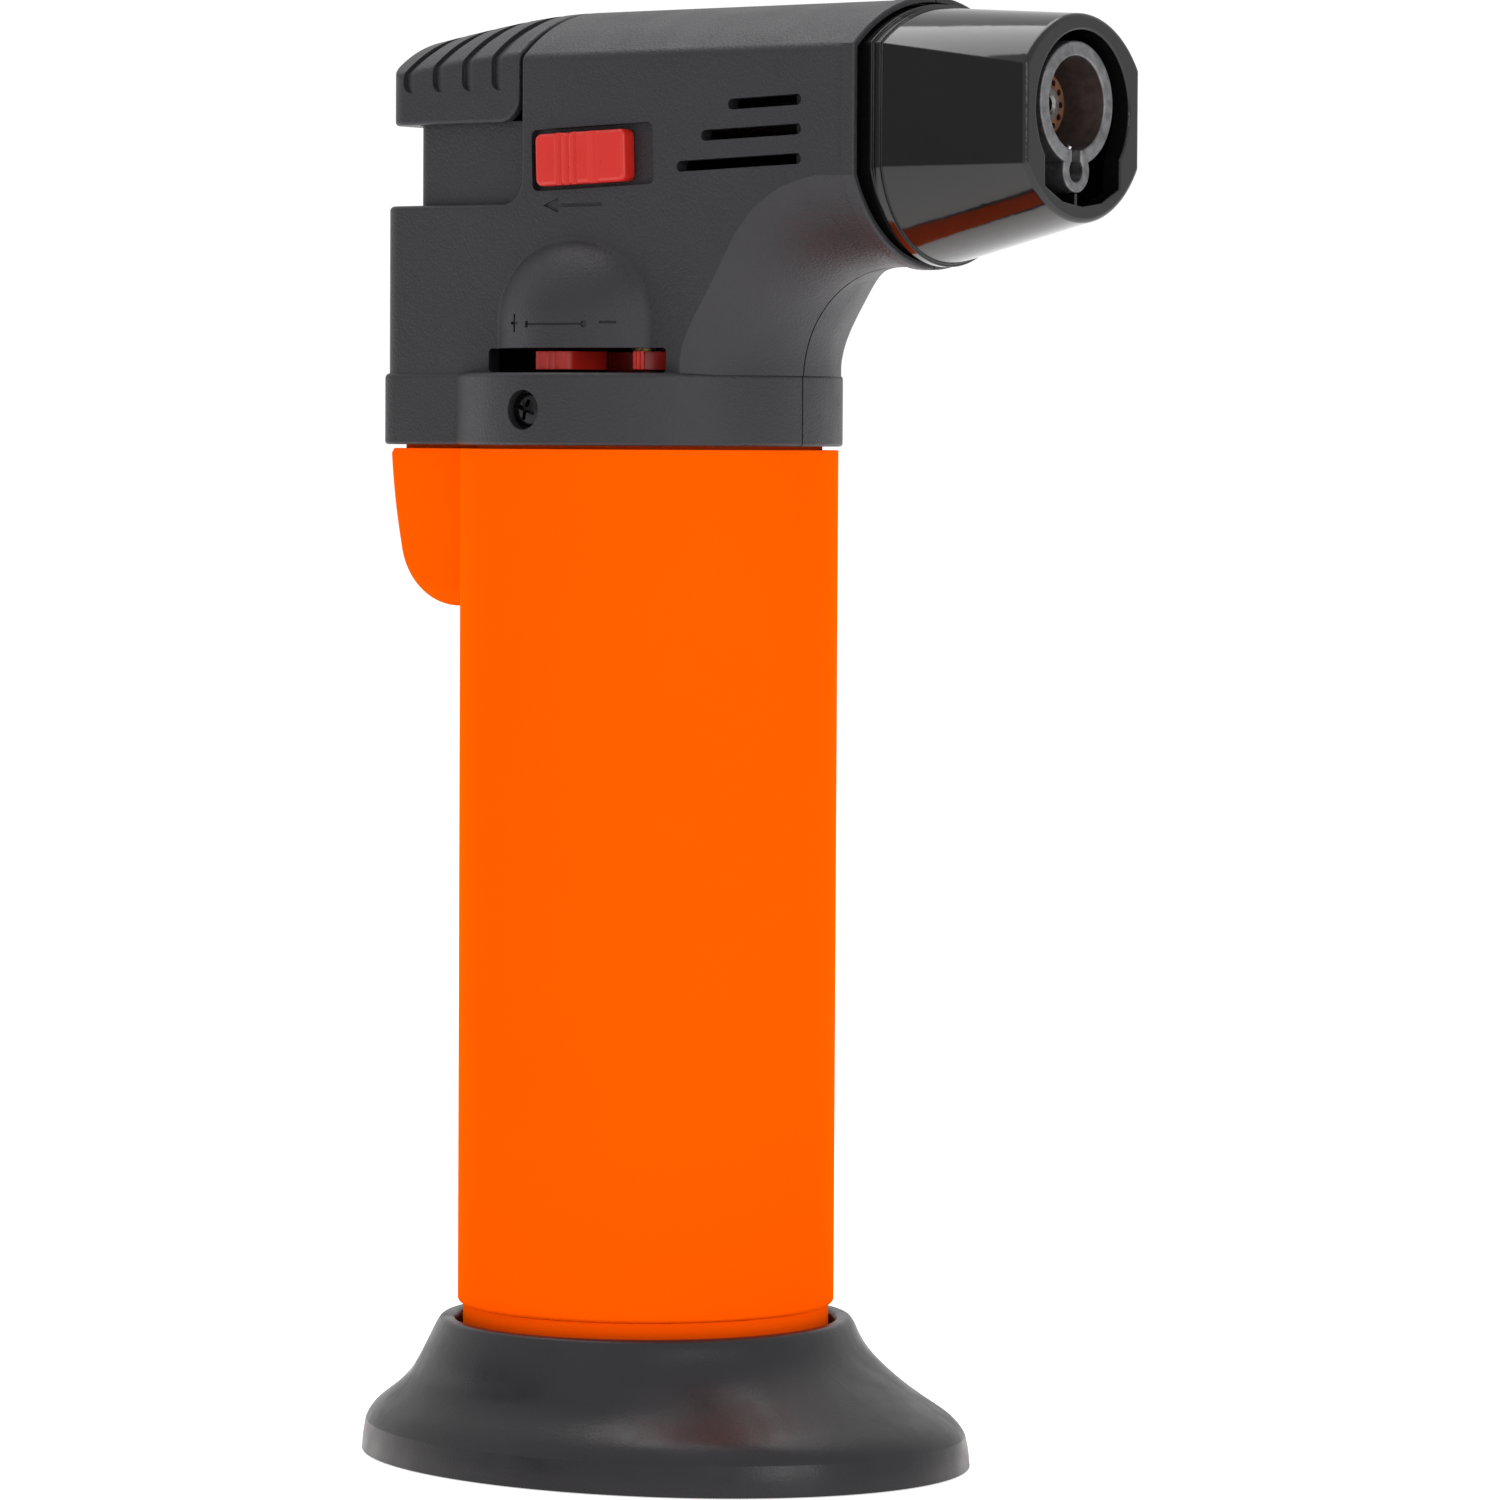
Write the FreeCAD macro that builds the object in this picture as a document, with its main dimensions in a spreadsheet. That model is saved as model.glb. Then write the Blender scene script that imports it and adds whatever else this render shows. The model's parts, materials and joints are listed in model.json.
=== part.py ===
import FreeCAD, Part
import math, os
import Sketcher
from FreeCAD import Vector as V, Placement, Rotation

# Butane torch on its stand.  Millimetres, +Z up, +X towards the nozzle.
# The origin is on the tank's axis, on the surface the stand rests on.
# The half on the -Y side carries the lock slider and the flame adjuster.

os.makedirs("parts", exist_ok=True)
doc = FreeCAD.newDocument("butane_torch")
sheet = doc.addObject("Spreadsheet::Sheet", "dims")


# ---------------------------------------------------------------- dimensions
class Q:
    """A length that carries its value and the expression that drives it."""
    def __init__(self, v, e):
        self.v, self.e = float(v), e

    def __add__(self, o):
        o = q(o); return Q(self.v + o.v, "(%s + %s)" % (self.e, o.e))

    def __radd__(self, o):
        return q(o) + self

    def __sub__(self, o):
        o = q(o); return Q(self.v - o.v, "(%s - %s)" % (self.e, o.e))

    def __rsub__(self, o):
        return q(o) - self

    def __mul__(self, o):
        o = q(o); return Q(self.v * o.v, "(%s * %s)" % (self.e, o.e))

    def __rmul__(self, o):
        return q(o) * self

    def __neg__(self):
        return Q(-self.v, "(-1 * %s)" % self.e)


def q(x):
    return x if isinstance(x, Q) else Q(x, "(%.6f)" % x if x < 0 else "%.6f" % x)


D = {}
rows = [0]


def dim(alias, value):
    rows[0] += 1
    sheet.set("A%d" % rows[0], alias.replace("_", " "))
    sheet.set("B%d" % rows[0], str(value))
    sheet.setAlias("B%d" % rows[0], alias)
    D[alias] = Q(value, "dims." + alias)
    return D[alias]


# stand
socket_radius = dim("socket_radius", 20.8)
socket_floor = dim("socket_floor", 5.2)
socket_floor_thick = dim("socket_floor_thick", 2.0)
stand_hole_radius = dim("stand_hole_radius", 8.0)
stand_wall = dim("stand_wall", 2.0)
# tank
tank_radius = dim("tank_radius", 20.65)
tank_bottom = dim("tank_bottom", 16.8)
tank_top = dim("tank_top", 110.2)
tank_wall = dim("tank_wall", 2.0)
tank_lid = dim("tank_lid", 2.5)
foot_radius = dim("foot_radius", 20.05)
foot_bottom = dim("foot_bottom", 5.4)
lobe_half = dim("lobe_half", 13.7)
lobe_rear = dim("lobe_rear", 26.7)
lobe_bottom = dim("lobe_bottom", 92.9)
neck_radius = dim("neck_radius", 18.9)
neck_top = dim("neck_top", 116.3)
valve_hole = dim("valve_hole", 3.95)
# housing
collar_radius = dim("collar_radius", 21.1)
collar_bottom = dim("collar_bottom", 110.6)
collar_top = dim("collar_top", 118.4)
collar_half = dim("collar_half", 14.35)
collar_rear = dim("collar_rear", 27.2)
head_half = dim("head_half", 14.0)
head_rear = dim("head_rear", 26.8)
roof_crown = dim("roof_crown", 157.9)
roof_radius = dim("roof_radius", 20.8)
shell_wall = dim("shell_wall", 1.8)
mouth_front = dim("mouth_front", 38.6)
mouth_bottom_radius = dim("mouth_bottom_radius", 15.2)
throat_x = dim("throat_x", 33.5)
throat_z = dim("throat_z", 118.2)
seam_gap = dim("seam_gap", 0.1)
shelf_height = dim("shelf_height", 136.7)
bay_front = dim("bay_front", 6.8)
column_half = dim("column_half", 12.5)
column_rear = dim("column_rear", 22.8)
column_clearance = dim("column_clearance", 0.25)
button_roof_wall = dim("button_roof_wall", 1.2)
# button
button_half = dim("button_half", 13.8)
button_rear = dim("button_rear", 26.2)
button_front = dim("button_front", 7.3)
button_bottom = dim("button_bottom", 145.5)
button_travel = dim("button_travel", 5.0)
ridge_pitch = dim("ridge_pitch", 4.2)
# gas valve
valve_radius = dim("valve_radius", 3.9)
adjuster_radius = dim("adjuster_radius", 17.0)
adjuster_bottom = dim("adjuster_bottom", 118.75)
adjuster_thick = dim("adjuster_thick", 1.95)
# nozzle
tube_axis = dim("tube_axis", 146.5)
flame_tube_outer = dim("flame_tube_outer", 6.5)
flame_tube_inner = dim("flame_tube_inner", 4.9)
flame_tube_front = dim("flame_tube_front", 57.0)
guard_front = dim("guard_front", 57.8)
lobe_axis = dim("lobe_axis", 139.5)
doc.recompute()


def val(alias):
    return float(sheet.get(alias))


# ------------------------------------------------------------------- helpers
parts = {}


def keep(obj, node):
    obj.Label = node
    parts[node] = obj
    return obj


def place(o, at=(0, 0, 0), rot=None):
    at = [q(a) for a in at]
    o.Placement = Placement(V(*[a.v for a in at]), rot or Rotation())
    for a, k in zip(at, "xyz"):
        if "dims." in a.e:
            o.setExpression("Placement.Base." + k, a.e)
    return o


def put(o, prop, x):
    x = q(x)
    setattr(o, prop, x.v)
    if "dims." in x.e:
        o.setExpression(prop, x.e)


ALONG_X = Rotation(V(0, 1, 0), 90)
ALONG_Y = Rotation(V(1, 0, 0), -90)


def cyl(name, r, length, at=(0, 0, 0), rot=None):
    o = doc.addObject("Part::Cylinder", name)
    place(o, at, rot); put(o, "Radius", r); put(o, "Height", length)
    return o


def box(name, at, size):
    o = doc.addObject("Part::Box", name)
    place(o, at)
    for p, s in zip(("Length", "Width", "Height"), size):
        put(o, p, s)
    return o


def span(name, x, y, z):
    return box(name, (x[0], y[0], z[0]), (q(x[1]) - x[0], q(y[1]) - y[0], q(z[1]) - z[0]))


def cone(name, r1, r2, length, at=(0, 0, 0), rot=None):
    o = doc.addObject("Part::Cone", name)
    place(o, at, rot); put(o, "Radius1", r1); put(o, "Radius2", r2); put(o, "Height", length)
    return o


def ellipse(name, a, b, at):
    o = doc.addObject("Part::Ellipse", name)
    place(o, at); put(o, "MajorRadius", a); put(o, "MinorRadius", b)
    return o


def loft(name, sections, ruled=False):
    o = doc.addObject("Part::Loft", name)
    o.Sections, o.Solid, o.Ruled = sections, True, ruled
    return o


def fuse(name, *shapes):
    o = doc.addObject("Part::MultiFuse", name)
    o.Shapes = list(shapes)
    return o


def cut(name, base, *tools):
    o = doc.addObject("Part::Cut", name)
    o.Base = base
    o.Tool = tools[0] if len(tools) == 1 else fuse(name + "_tools", *tools)
    return o


def common(name, *shapes):
    o = doc.addObject("Part::MultiCommon", name)
    o.Shapes = list(shapes)
    return o


def feature(name, shape):
    o = doc.addObject("Part::Feature", name)
    o.Shape = shape
    return o


def body(node):
    b = doc.addObject("PartDesign::Body", node)
    keep(b, node)
    return b


def plane_of(b, role):
    return [f for f in b.Origin.OriginFeatures if f.Role == role][0]


def sketch(owner, name, role="XZ_Plane", offset=0):
    if owner is None:
        s = doc.addObject("Sketcher::SketchObject", name)
        s.Placement = Placement(V(), {"XY_Plane": Rotation(), "XZ_Plane": Rotation(V(1, 0, 0), 90),
                                      "YZ_Plane": Rotation(V(1, 1, 1), 120)}[role])
        return s
    s = owner.newObject("Sketcher::SketchObject", name)
    s.AttachmentSupport = [(plane_of(owner, role), "")]
    s.MapMode = "FlatFace"
    offset = q(offset)
    if offset.v:
        s.AttachmentOffset = Placement(V(0, 0, offset.v), Rotation())
        if "dims." in offset.e:
            s.setExpression("AttachmentOffset.Base.z", offset.e)
    return s


def pin(s, geo, pos, x, y):
    """Hold one sketch vertex at driven coordinates."""
    for kind, c in (("DistanceX", q(x)), ("DistanceY", q(y))):
        n = s.addConstraint(Sketcher.Constraint(kind, -1, 1, geo, pos, c.v))
        if "dims." in c.e:
            s.setExpression("Constraints[%d]" % n, c.e)


def outline(s, pts):
    """Closed outline: each entry is (x, y) or (x, y, r), r being the radius of the
    arc to the next vertex, positive when it turns counter-clockwise."""
    n = len(pts)
    first = None
    ids = []
    for i, p in enumerate(pts):
        a, b = V(q(p[0]).v, q(p[1]).v, 0), V(q(pts[(i + 1) % n][0]).v, q(pts[(i + 1) % n][1]).v, 0)
        if len(p) == 2:
            ids.append((s.addGeometry(Part.LineSegment(a, b), False), 1, 2))
            continue
        r = q(p[2])
        R = abs(r.v)
        m, d = (a + b) * 0.5, b - a
        hgt = math.sqrt(max(R * R - d.Length ** 2 / 4, 0))
        nrm = V(-d.y, d.x, 0) * (1.0 / d.Length)
        c = m + nrm * (hgt if r.v > 0 else -hgt)
        far = (m - c)
        mid = c + far * (R / far.Length) if far.Length > 1e-9 else c - nrm * (R if r.v > 0 else -R)
        g = s.addGeometry(Part.Arc(a, mid, b), False)
        start = s.Geometry[g].StartPoint
        ids.append((g, 1, 2) if (start - a).Length < 1e-6 else (g, 2, 1))
        k = s.addConstraint(Sketcher.Constraint("Radius", g, R))
        if "dims." in r.e:
            s.setExpression("Constraints[%d]" % k, (r if r.v > 0 else -r).e)
    for i in range(n):
        g, st, en = ids[i]
        g2, st2, en2 = ids[(i + 1) % n]
        s.addConstraint(Sketcher.Constraint("Coincident", g, en, g2, st2))
        pin(s, g, st, pts[i][0], pts[i][1])
    return s


def ring(s, r, x=0, y=0):
    g = s.addGeometry(Part.Circle(V(q(x).v, q(y).v, 0), V(0, 0, 1), q(r).v), False)
    pin(s, g, 3, x, y)
    k = s.addConstraint(Sketcher.Constraint("Radius", g, q(r).v))
    if "dims." in q(r).e:
        s.setExpression("Constraints[%d]" % k, q(r).e)
    return g


def extrude(name, sk, length, both=False):
    o = doc.addObject("Part::Extrusion", name)
    o.Base, o.DirMode, o.Solid, o.Symmetric = sk, "Normal", True, both
    put(o, "LengthFwd", length)
    return o


def revolve(b, name, pts, groove=False):
    """Turned shape about the body's Z axis from an (r, z) outline."""
    s = sketch(b, name + "_profile", "XZ_Plane")
    outline(s, pts)
    f = b.newObject("PartDesign::Groove" if groove else "PartDesign::Revolution", name)
    f.Profile = s
    f.ReferenceAxis = (s, ["V_Axis"])
    f.Angle = 360.0
    return f


def pad(b, name, sk, length):
    f = b.newObject("PartDesign::Pad", name)
    f.Profile = sk
    put(f, "Length", length)
    return f


def pocket(b, name, sk, length=None, reverse=False, through=False):
    before = b.Tip.Shape.Volume if b.Tip else 0
    f = b.newObject("PartDesign::Pocket", name)
    f.Profile = sk
    f.Reversed = reverse
    if through:
        f.Type = "ThroughAll"
    else:
        put(f, "Length", length)
    doc.recompute()
    if not f.Shape.Volume < before - 1e-6:
        raise RuntimeError(name + " removes nothing")
    return f


def polar(b, name, feat, count, axis_sketch):
    f = b.newObject("PartDesign::PolarPattern", name)
    f.Originals = [feat]
    f.Axis = (axis_sketch, ["N_Axis"])
    f.Angle = 360.0
    f.Occurrences = count
    b.Tip = f
    return f


def soften(shape, r, pick):
    """Round the chosen edges; an edge that cannot take the radius stays sharp."""
    edges = [e for e in shape.Edges if pick(e)]
    if not edges:
        return shape
    try:
        out = shape.makeFillet(r, edges)
        if out.isValid() and out.Volume > 0 and abs(out.Volume / shape.Volume - 1) < 0.2:
            return out
    except Exception:
        pass
    out = shape
    for e in edges:
        mid = e.CenterOfMass
        try:
            near = [k for k in out.Edges if (k.CenterOfMass - mid).Length < 1e-3]
            new = out.makeFillet(r, near)
            if new.isValid() and abs(new.Volume / shape.Volume - 1) < 0.2:
                out = new
        except Exception:
            pass
    return out


def solid_of(shape):
    return max(shape.Solids, key=lambda k: k.Volume)


def tube_path(points, radii_factor=0.45):
    """Straight runs joined by tangent arcs, each arc as large as its runs allow."""
    edges, start, radii = [], points[0], []
    for a, b, c in zip(points, points[1:], points[2:]):
        u, w = (b - a), (c - b)
        turn = u.getAngle(w)
        r = radii_factor * min(u.Length, w.Length) / math.tan(turn / 2)
        t = r * math.tan(turn / 2)
        u.normalize(); w.normalize()
        p, s = b - u * t, b + w * t
        inward = (w - u)
        inward.normalize()
        mid = b + inward * (r / math.cos(turn / 2) - r)
        edges.append(Part.LineSegment(start, p).toShape())
        edges.append(Part.Arc(p, mid, s).toShape())
        start = s
        radii.append(r)
    edges.append(Part.LineSegment(start, points[-1]).toShape())
    return Part.Wire(edges), radii


def pipe(points, r_out, r_in=0):
    wire, radii = tube_path(points)
    d = points[1] - points[0]

    def one(r):
        prof = Part.Wire(Part.makeCircle(r, points[0], d))
        return wire.makePipeShell([prof], True, False)
    out = one(r_out)
    if r_in:
        out = out.cut(one(r_in))
    want = wire.Length * math.pi * (r_out ** 2 - r_in ** 2)
    print("pipe radii", [round(r, 2) for r in radii], "volume", round(out.Volume, 2), "expected", round(want, 2))
    return solid_of(out)


def spring(node, r, wire, z0, z1, turns, at=(0, 0), axis=None):
    hx = doc.addObject("Part::Helix", node + "_helix")
    hx.Radius, hx.Pitch, hx.Height = r, (z1 - z0 - wire) / turns, z1 - z0 - wire
    hx.SegmentLength = 1.0
    hx.Placement = Placement(V(at[0], at[1], z0 + wire / 2), Rotation())
    cc = doc.addObject("Part::Circle", node + "_section")
    cc.Radius = wire / 2
    cc.Placement = Placement(V(at[0] + r, at[1], z0 + wire / 2), Rotation(V(1, 0, 0), 90))
    sw = doc.addObject("Part::Sweep", node)
    sw.Sections, sw.Spine, sw.Solid, sw.Frenet = [cc], (hx, []), True, True
    return keep(sw, node)


# --------------------------------------------------------------------- stand
# A moulded foot: a round rim and neck running out into an egg-like flare, longer
# towards the nozzle; the round socket holds the tank's foot, and the middle of its
# floor is open.
flare_table = [(0.0, 35.8, 29.1, 2.60), (1.7, 35.65, 28.95, 2.58), (3.3, 35.3, 28.7, 2.54), (4.6, 34.4, 27.9, 2.4), (6.2, 32.0, 26.5, 2.05),
               (8.3, 28.6, 25.05, 1.35), (10.2, 26.0, 24.6, 0.55), (11.8, 24.4, 24.15, 0.1), (13.5, 23.4, 23.4, 0.0), (15.2, 22.4, 22.4, 0.0)]
stand_height = flare_table[-1][0]
flare_dims = []
for i, (z, a, b_, cx) in enumerate(flare_table):
    flare_dims.append([dim("flare_level_%s" % chr(97 + i), z), dim("flare_long_%s" % chr(97 + i), a),
                       dim("flare_wide_%s" % chr(97 + i), b_), dim("flare_shift_%s" % chr(97 + i), cx)])
doc.recompute()


def flare(tag, inset):
    rings = []
    for i, (z, a, b_, cx) in enumerate(flare_dims):
        rings.append(ellipse("flare_%s_%d" % (tag, i), a - inset, b_ - inset, (cx, 0, z)))
    band = loft("flare_band_" + tag, rings[:3])
    top = loft("flare_top_" + tag, rings[2:])
    return fuse("flare_" + tag, band, top)


stand_outer = flare("skin", 0.0)
hollow = cut("stand_hollow", common("stand_hollow_limit", flare("inside", stand_wall),
                                    box("stand_hollow_box", (-60, -60, -1), (120, 120, 10.2))),
             cyl("stand_socket_wall", socket_radius + 1.6, 40, (0, 0, -5)))
stand_cut = cut("stand_cut", stand_outer, hollow,
                cyl("stand_socket", socket_radius, 20, (0, 0, socket_floor)),
                cyl("stand_under_floor", socket_radius, socket_floor - socket_floor_thick + 5, (0, 0, -5)),
                cyl("stand_hole", stand_hole_radius, 20, (0, 0, -5)))
ribs = []
for i in range(8):
    a = math.radians(22.5 + 45 * i)
    rb = doc.addObject("Part::Box", "stand_rib_%d" % i)
    rb.Length, rb.Width, rb.Height = 16.0, 1.4, 6.5
    rb.Placement = Placement(V(math.cos(a) * 21.8, math.sin(a) * 21.8, 1.2), Rotation(V(0, 0, 1), math.degrees(a))) \
        * Placement(V(0, -0.7, 0), Rotation())
    ribs.append(rb)
rib_set = common("stand_ribs", fuse("stand_rib_set", *ribs), flare("rib_limit", 1.0))
stand_raw = fuse("stand_raw", stand_cut, rib_set)
doc.recompute()
stand_shape = solid_of(stand_raw.Shape)
stand_shape = soften(stand_shape, 0.65, lambda e: abs(e.BoundBox.ZMin - stand_height) < 1e-3 and abs(e.BoundBox.ZMax - stand_height) < 1e-3)
print("stand", stand_shape.isValid(), round(stand_shape.Volume, 1))
keep(feature("stand_base_shape", stand_shape), "stand_base")

# ---------------------------------------------------------------------- tank
lobe_side = sketch(None, "lobe_side", "XZ_Plane")
outline(lobe_side, [(0, lobe_bottom), (0, tank_top), (-lobe_rear, tank_top, 74.0), (1.6 - lobe_rear, 98.9, 7.68), (8.9 - lobe_rear, lobe_bottom + 0.05)])
lobe_tool = extrude("tank_lobe_outer", lobe_side, 2 * lobe_half, True)
doc.recompute()
tank_skin = solid_of(lobe_tool.Shape)
tank_skin = soften(tank_skin, 2.4, lambda e: abs(abs(e.CenterOfMass.y) - val("lobe_half")) < 0.02 and e.BoundBox.ZMin < val("tank_top") - 0.05
                   and e.BoundBox.XMin < -16)
tank_skin = tank_skin.cut(Part.Face(Part.makePolygon([V(-40, -40, 108.6), V(-40, -40, 120), V(-24.9, -40, 120), V(-24.9, -40, 110.3), V(-26.9, -40, 109.0),
                                                      V(-40, -40, 108.6)])).extrude(V(0, 80, 0)))
lobe_skin = feature("tank_lobe_skin", tank_skin)
lobe_void = doc.addObject("Part::Box", "tank_lobe_void")
place(lobe_void, (tank_wall - 23.6, tank_wall - lobe_half, 97.0))
put(lobe_void, "Length", 20.0)
put(lobe_void, "Width", 2 * (lobe_half - tank_wall))
put(lobe_void, "Height", tank_top - tank_lid - 97.0)
shell_core = cyl("tank_core", tank_radius - tank_wall, 200, (0, 0, -50))
core_limit = common("tank_inside", shell_core, span("tank_inside_limit", (-40, 40), (-40, 40), (0, tank_top - tank_lid)))
tank_outer = fuse("tank_outer", cyl("tank_cylinder", tank_radius, tank_top - tank_bottom, (0, 0, tank_bottom)), lobe_skin)
neck_ring = cut("tank_neck", cyl("tank_neck_outer", neck_radius, neck_top - tank_top + 1, (0, 0, tank_top - 1)),
                cyl("tank_neck_inner", neck_radius - 2.0, 30, (0, 0, tank_top)),
                span("tank_neck_gap", (-40, -7.5), (-8.2, 8.2), (tank_top, 130)))
screw_boss = common("tank_screw_bosses", span("tank_boss_bar", (-3.3, 2.3), (-40, 40), (tank_top - 1, neck_top)),
                    cut("tank_boss_ring", cyl("tank_boss_outer", neck_radius, 30, (0, 0, tank_top - 1)),
                        cyl("tank_boss_inner", neck_radius - 5.2, 30, (0, 0, tank_top - 5))))
lobe_lip = cut("tank_lobe_lip", span("tank_lip_outer", (-24.8, -13.5), (-11.9, 11.9), (tank_top - 1, tank_top + 1.5)),
               span("tank_lip_inner", (-23.6, -12), (-10.7, 10.7), (tank_top - 2, 130)))
valve_boss = cyl("tank_valve_boss", 7.5, 6.0, (0, 0, tank_top - 7.5))
tank_solid = cut("tank_solid", fuse("tank_sum", cut("tank_hollowed", tank_outer, core_limit, lobe_void), neck_ring, lobe_lip, screw_boss, valve_boss),
                 cyl("tank_valve_hole", valve_hole, 40, (0, 0, tank_top - 20)),
                 cyl("tank_screw_hole", 1.15, 60, (-0.5, -30, 114.4), ALONG_Y))
doc.recompute()
ts = solid_of(tank_solid.Shape)
ts = soften(ts, 0.45, lambda e: e.Curve.TypeId == "Part::GeomCircle" and abs(e.CenterOfMass.z - val("tank_bottom")) < 1e-3
            and abs(e.Curve.Radius - val("tank_radius")) < 1e-3)
keep(feature("tank_shell_shape", ts), "tank_shell")

foot = body("tank_foot_plug")
revolve(foot, "foot_turned", [
    (3.55, 6.2), (6.2, 6.2), (6.2, 15.0), (18.0, 15.0), (18.0, foot_bottom), (foot_radius - 0.6, foot_bottom), (foot_radius, foot_bottom + 0.6),
    (foot_radius, tank_bottom - 0.05), (tank_radius - tank_wall - 0.05, tank_bottom - 0.05), (tank_radius - tank_wall - 0.05, 25.4),
    (tank_radius - 2 * tank_wall, 25.4), (tank_radius - 2 * tank_wall, 17.6), (6.2, 17.6), (6.2, 20.4), (3.55, 20.4)])
doc.recompute()
rib_sk = sketch(foot, "foot_rib_sketch", "XY_Plane", 9.0)
outline(rib_sk, [(5.6, -0.8), (18.6, -0.8), (18.6, 0.8), (5.6, 0.8)])
rib = pad(foot, "foot_rib", rib_sk, 6.2)
doc.recompute()
polar(foot, "foot_ribs", rib, 6, rib_sk)

# --------------------------------------------------------------- fill valve
fb = body("fill_valve_body")
revolve(fb, "fill_body_turned", [
    (1.75, 6.5), (2.9, 6.5), (3.5, 7.1), (3.5, 19.2), (2.9, 19.8), (0.9, 19.8), (0.9, 18.6), (2.3, 18.6), (2.3, 11.5), (1.25, 11.5), (1.25, 10.0), (1.75, 10.0)])
fs = body("fill_valve_stem")
revolve(fs, "fill_stem_turned", [(0, 10.1), (1.1, 10.1), (1.1, 12.15), (2.0, 12.15), (2.0, 13.0), (0.6, 13.0), (0.6, 16.8), (0, 16.8)])
fr = body("fill_valve_seal")
revolve(fr, "fill_seal_turned", [(1.2, 11.52), (2.2, 11.52), (2.2, 12.1), (1.2, 12.1)])
spring("fill_valve_spring", 1.75, 0.4, 13.05, 18.55, 6)

# ----------------------------------------------------------- gas valve group
vb = body("valve_body")
revolve(vb, "valve_body_turned", [
    (1.7, 100.0), (valve_radius - 0.6, 100.0), (valve_radius, 100.6), (valve_radius, tank_top), (5.6, tank_top), (5.6, 111.9), (valve_radius, 111.9),
    (valve_radius, 117.4), (valve_radius - 0.6, 118.0), (2.4, 118.0), (2.4, 121.2), (1.75, 121.2), (1.75, 112.6), (2.9, 112.6), (2.9, 102.0), (1.7, 102.0)])
vs = body("valve_stem")
revolve(vs, "valve_stem_turned", [
    (0.5, 103.4), (2.6, 103.4), (2.6, 105.6), (1.6, 105.6), (1.6, 125.2), (3.4, 125.2), (3.4, 126.4), (1.6, 126.4), (1.6, 127.2), (1.05, 127.6),
    (1.05, 131.0), (0.5, 131.0)])
vr = body("valve_seal")
revolve(vr, "valve_seal_turned", [(0.6, 102.05), (2.8, 102.05), (2.8, 103.35), (0.6, 103.35)])
spring("valve_spring", 2.2, 0.55, 105.65, 112.55, 5)
dt = body("dip_tube")
revolve(dt, "dip_tube_turned", [(1.0, 28.0), (1.65, 28.0), (1.65, 101.9), (1.0, 101.9)])
rr = body("valve_regulator_ring")
revolve(rr, "regulator_turned", [
    (valve_radius + 0.2, 112.1), (5.4, 112.1), (5.4, 116.4), (4.9, 116.9), (4.9, adjuster_bottom + adjuster_thick), (valve_radius + 0.2, adjuster_bottom + adjuster_thick)])
doc.recompute()
kn = sketch(rr, "regulator_knurl_sketch", "XY_Plane", 112.6)
ring(kn, 0.35, 5.45, 0)
knf = pocket(rr, "regulator_knurl", kn, 3.2, reverse=True)
polar(rr, "regulator_knurls", knf, 24, kn)

# Flame adjuster: a hub on the regulator ring and an arm that ends in a long rim
# showing in the window, with three ribs at its rear end for the finger.
ad_hub = cyl("adjuster_hub", 7.2, adjuster_thick, (0, 0, adjuster_bottom))
ad_disc = cyl("adjuster_disc", adjuster_radius, adjuster_thick, (0, 0, adjuster_bottom))
ad_sector = sketch(None, "adjuster_sector", "XY_Plane")


def polar_pt(r, deg):
    """Point at radius r, deg counted from the -Y direction towards +X."""
    return (r * math.sin(math.radians(deg)), -r * math.cos(math.radians(deg)))


outline(ad_sector, [(0, 0), polar_pt(40, -7.2), polar_pt(40, 20), polar_pt(40, 47)])
ad_sector_solid = extrude("adjuster_sector_solid", ad_sector, 200)
ad_gap_sketch = sketch(None, "adjuster_gap_sector", "XY_Plane")
outline(ad_gap_sketch, [polar_pt(7.7, 4.0), polar_pt(11.8, 15.6), polar_pt(17.3, 7.2), polar_pt(30, 7.2), polar_pt(30, 32.6), polar_pt(7.7, 32.6)])
ad_gap = extrude("adjuster_gap", ad_gap_sketch, 200)
ad_step_sketch = sketch(None, "adjuster_step_sector", "XY_Plane")
outline(ad_step_sketch, [polar_pt(15.6, 36.8), polar_pt(30, 36.8), polar_pt(30, 60), polar_pt(15.6, 60)])
ad_step = extrude("adjuster_step", ad_step_sketch, 200)
ad_grooves = [cyl("adjuster_groove_%d" % i, 0.3, 10, tuple(polar_pt(17.1, a)) + (adjuster_bottom - 3,))
              for i, a in enumerate((-5.6, -0.9, 1.9, 34.7))]
ad_arm = cut("adjuster_arm", common("adjuster_arm_raw", ad_disc, ad_sector_solid), ad_gap, ad_step, *ad_grooves)
adj = cut("adjuster_solid", fuse("adjuster_sum", ad_arm, ad_hub), cyl("adjuster_bore", 4.92, 20, (0, 0, adjuster_bottom - 5)))
doc.recompute()
adj_shape = solid_of(adj.Shape)
for pt_, r_ in ((polar_pt(17.0, 7.6), 1.2), (polar_pt(17.0, -7.2), 0.35), (polar_pt(17.0, 32.6), 0.3)):
    vol = adj_shape.Volume
    adj_shape = soften(adj_shape, r_, lambda e: e.BoundBox.ZMax - e.BoundBox.ZMin > 1.0 and math.hypot(e.CenterOfMass.x - pt_[0], e.CenterOfMass.y - pt_[1]) < 0.3)
    print("adjuster corner", round(vol - adj_shape.Volume, 3))
print("adjuster", adj_shape.isValid(), round(adj_shape.Volume, 1))
keep(feature("flame_adjuster_shape", adj_shape), "flame_adjuster")


# ------------------------------------------------------------------- housing
def prism_x(face_pts, x0, x1):
    """Closed outline of (y, z) edges extruded along X; built by the callers."""
    return Part.Face(face_pts).extrude(V(x1 - x0, 0, 0))


def arc_or_line(a, b, mid=None):
    return Part.Arc(a, mid, b).toShape() if mid is not None else Part.LineSegment(a, b).toShape()


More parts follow.
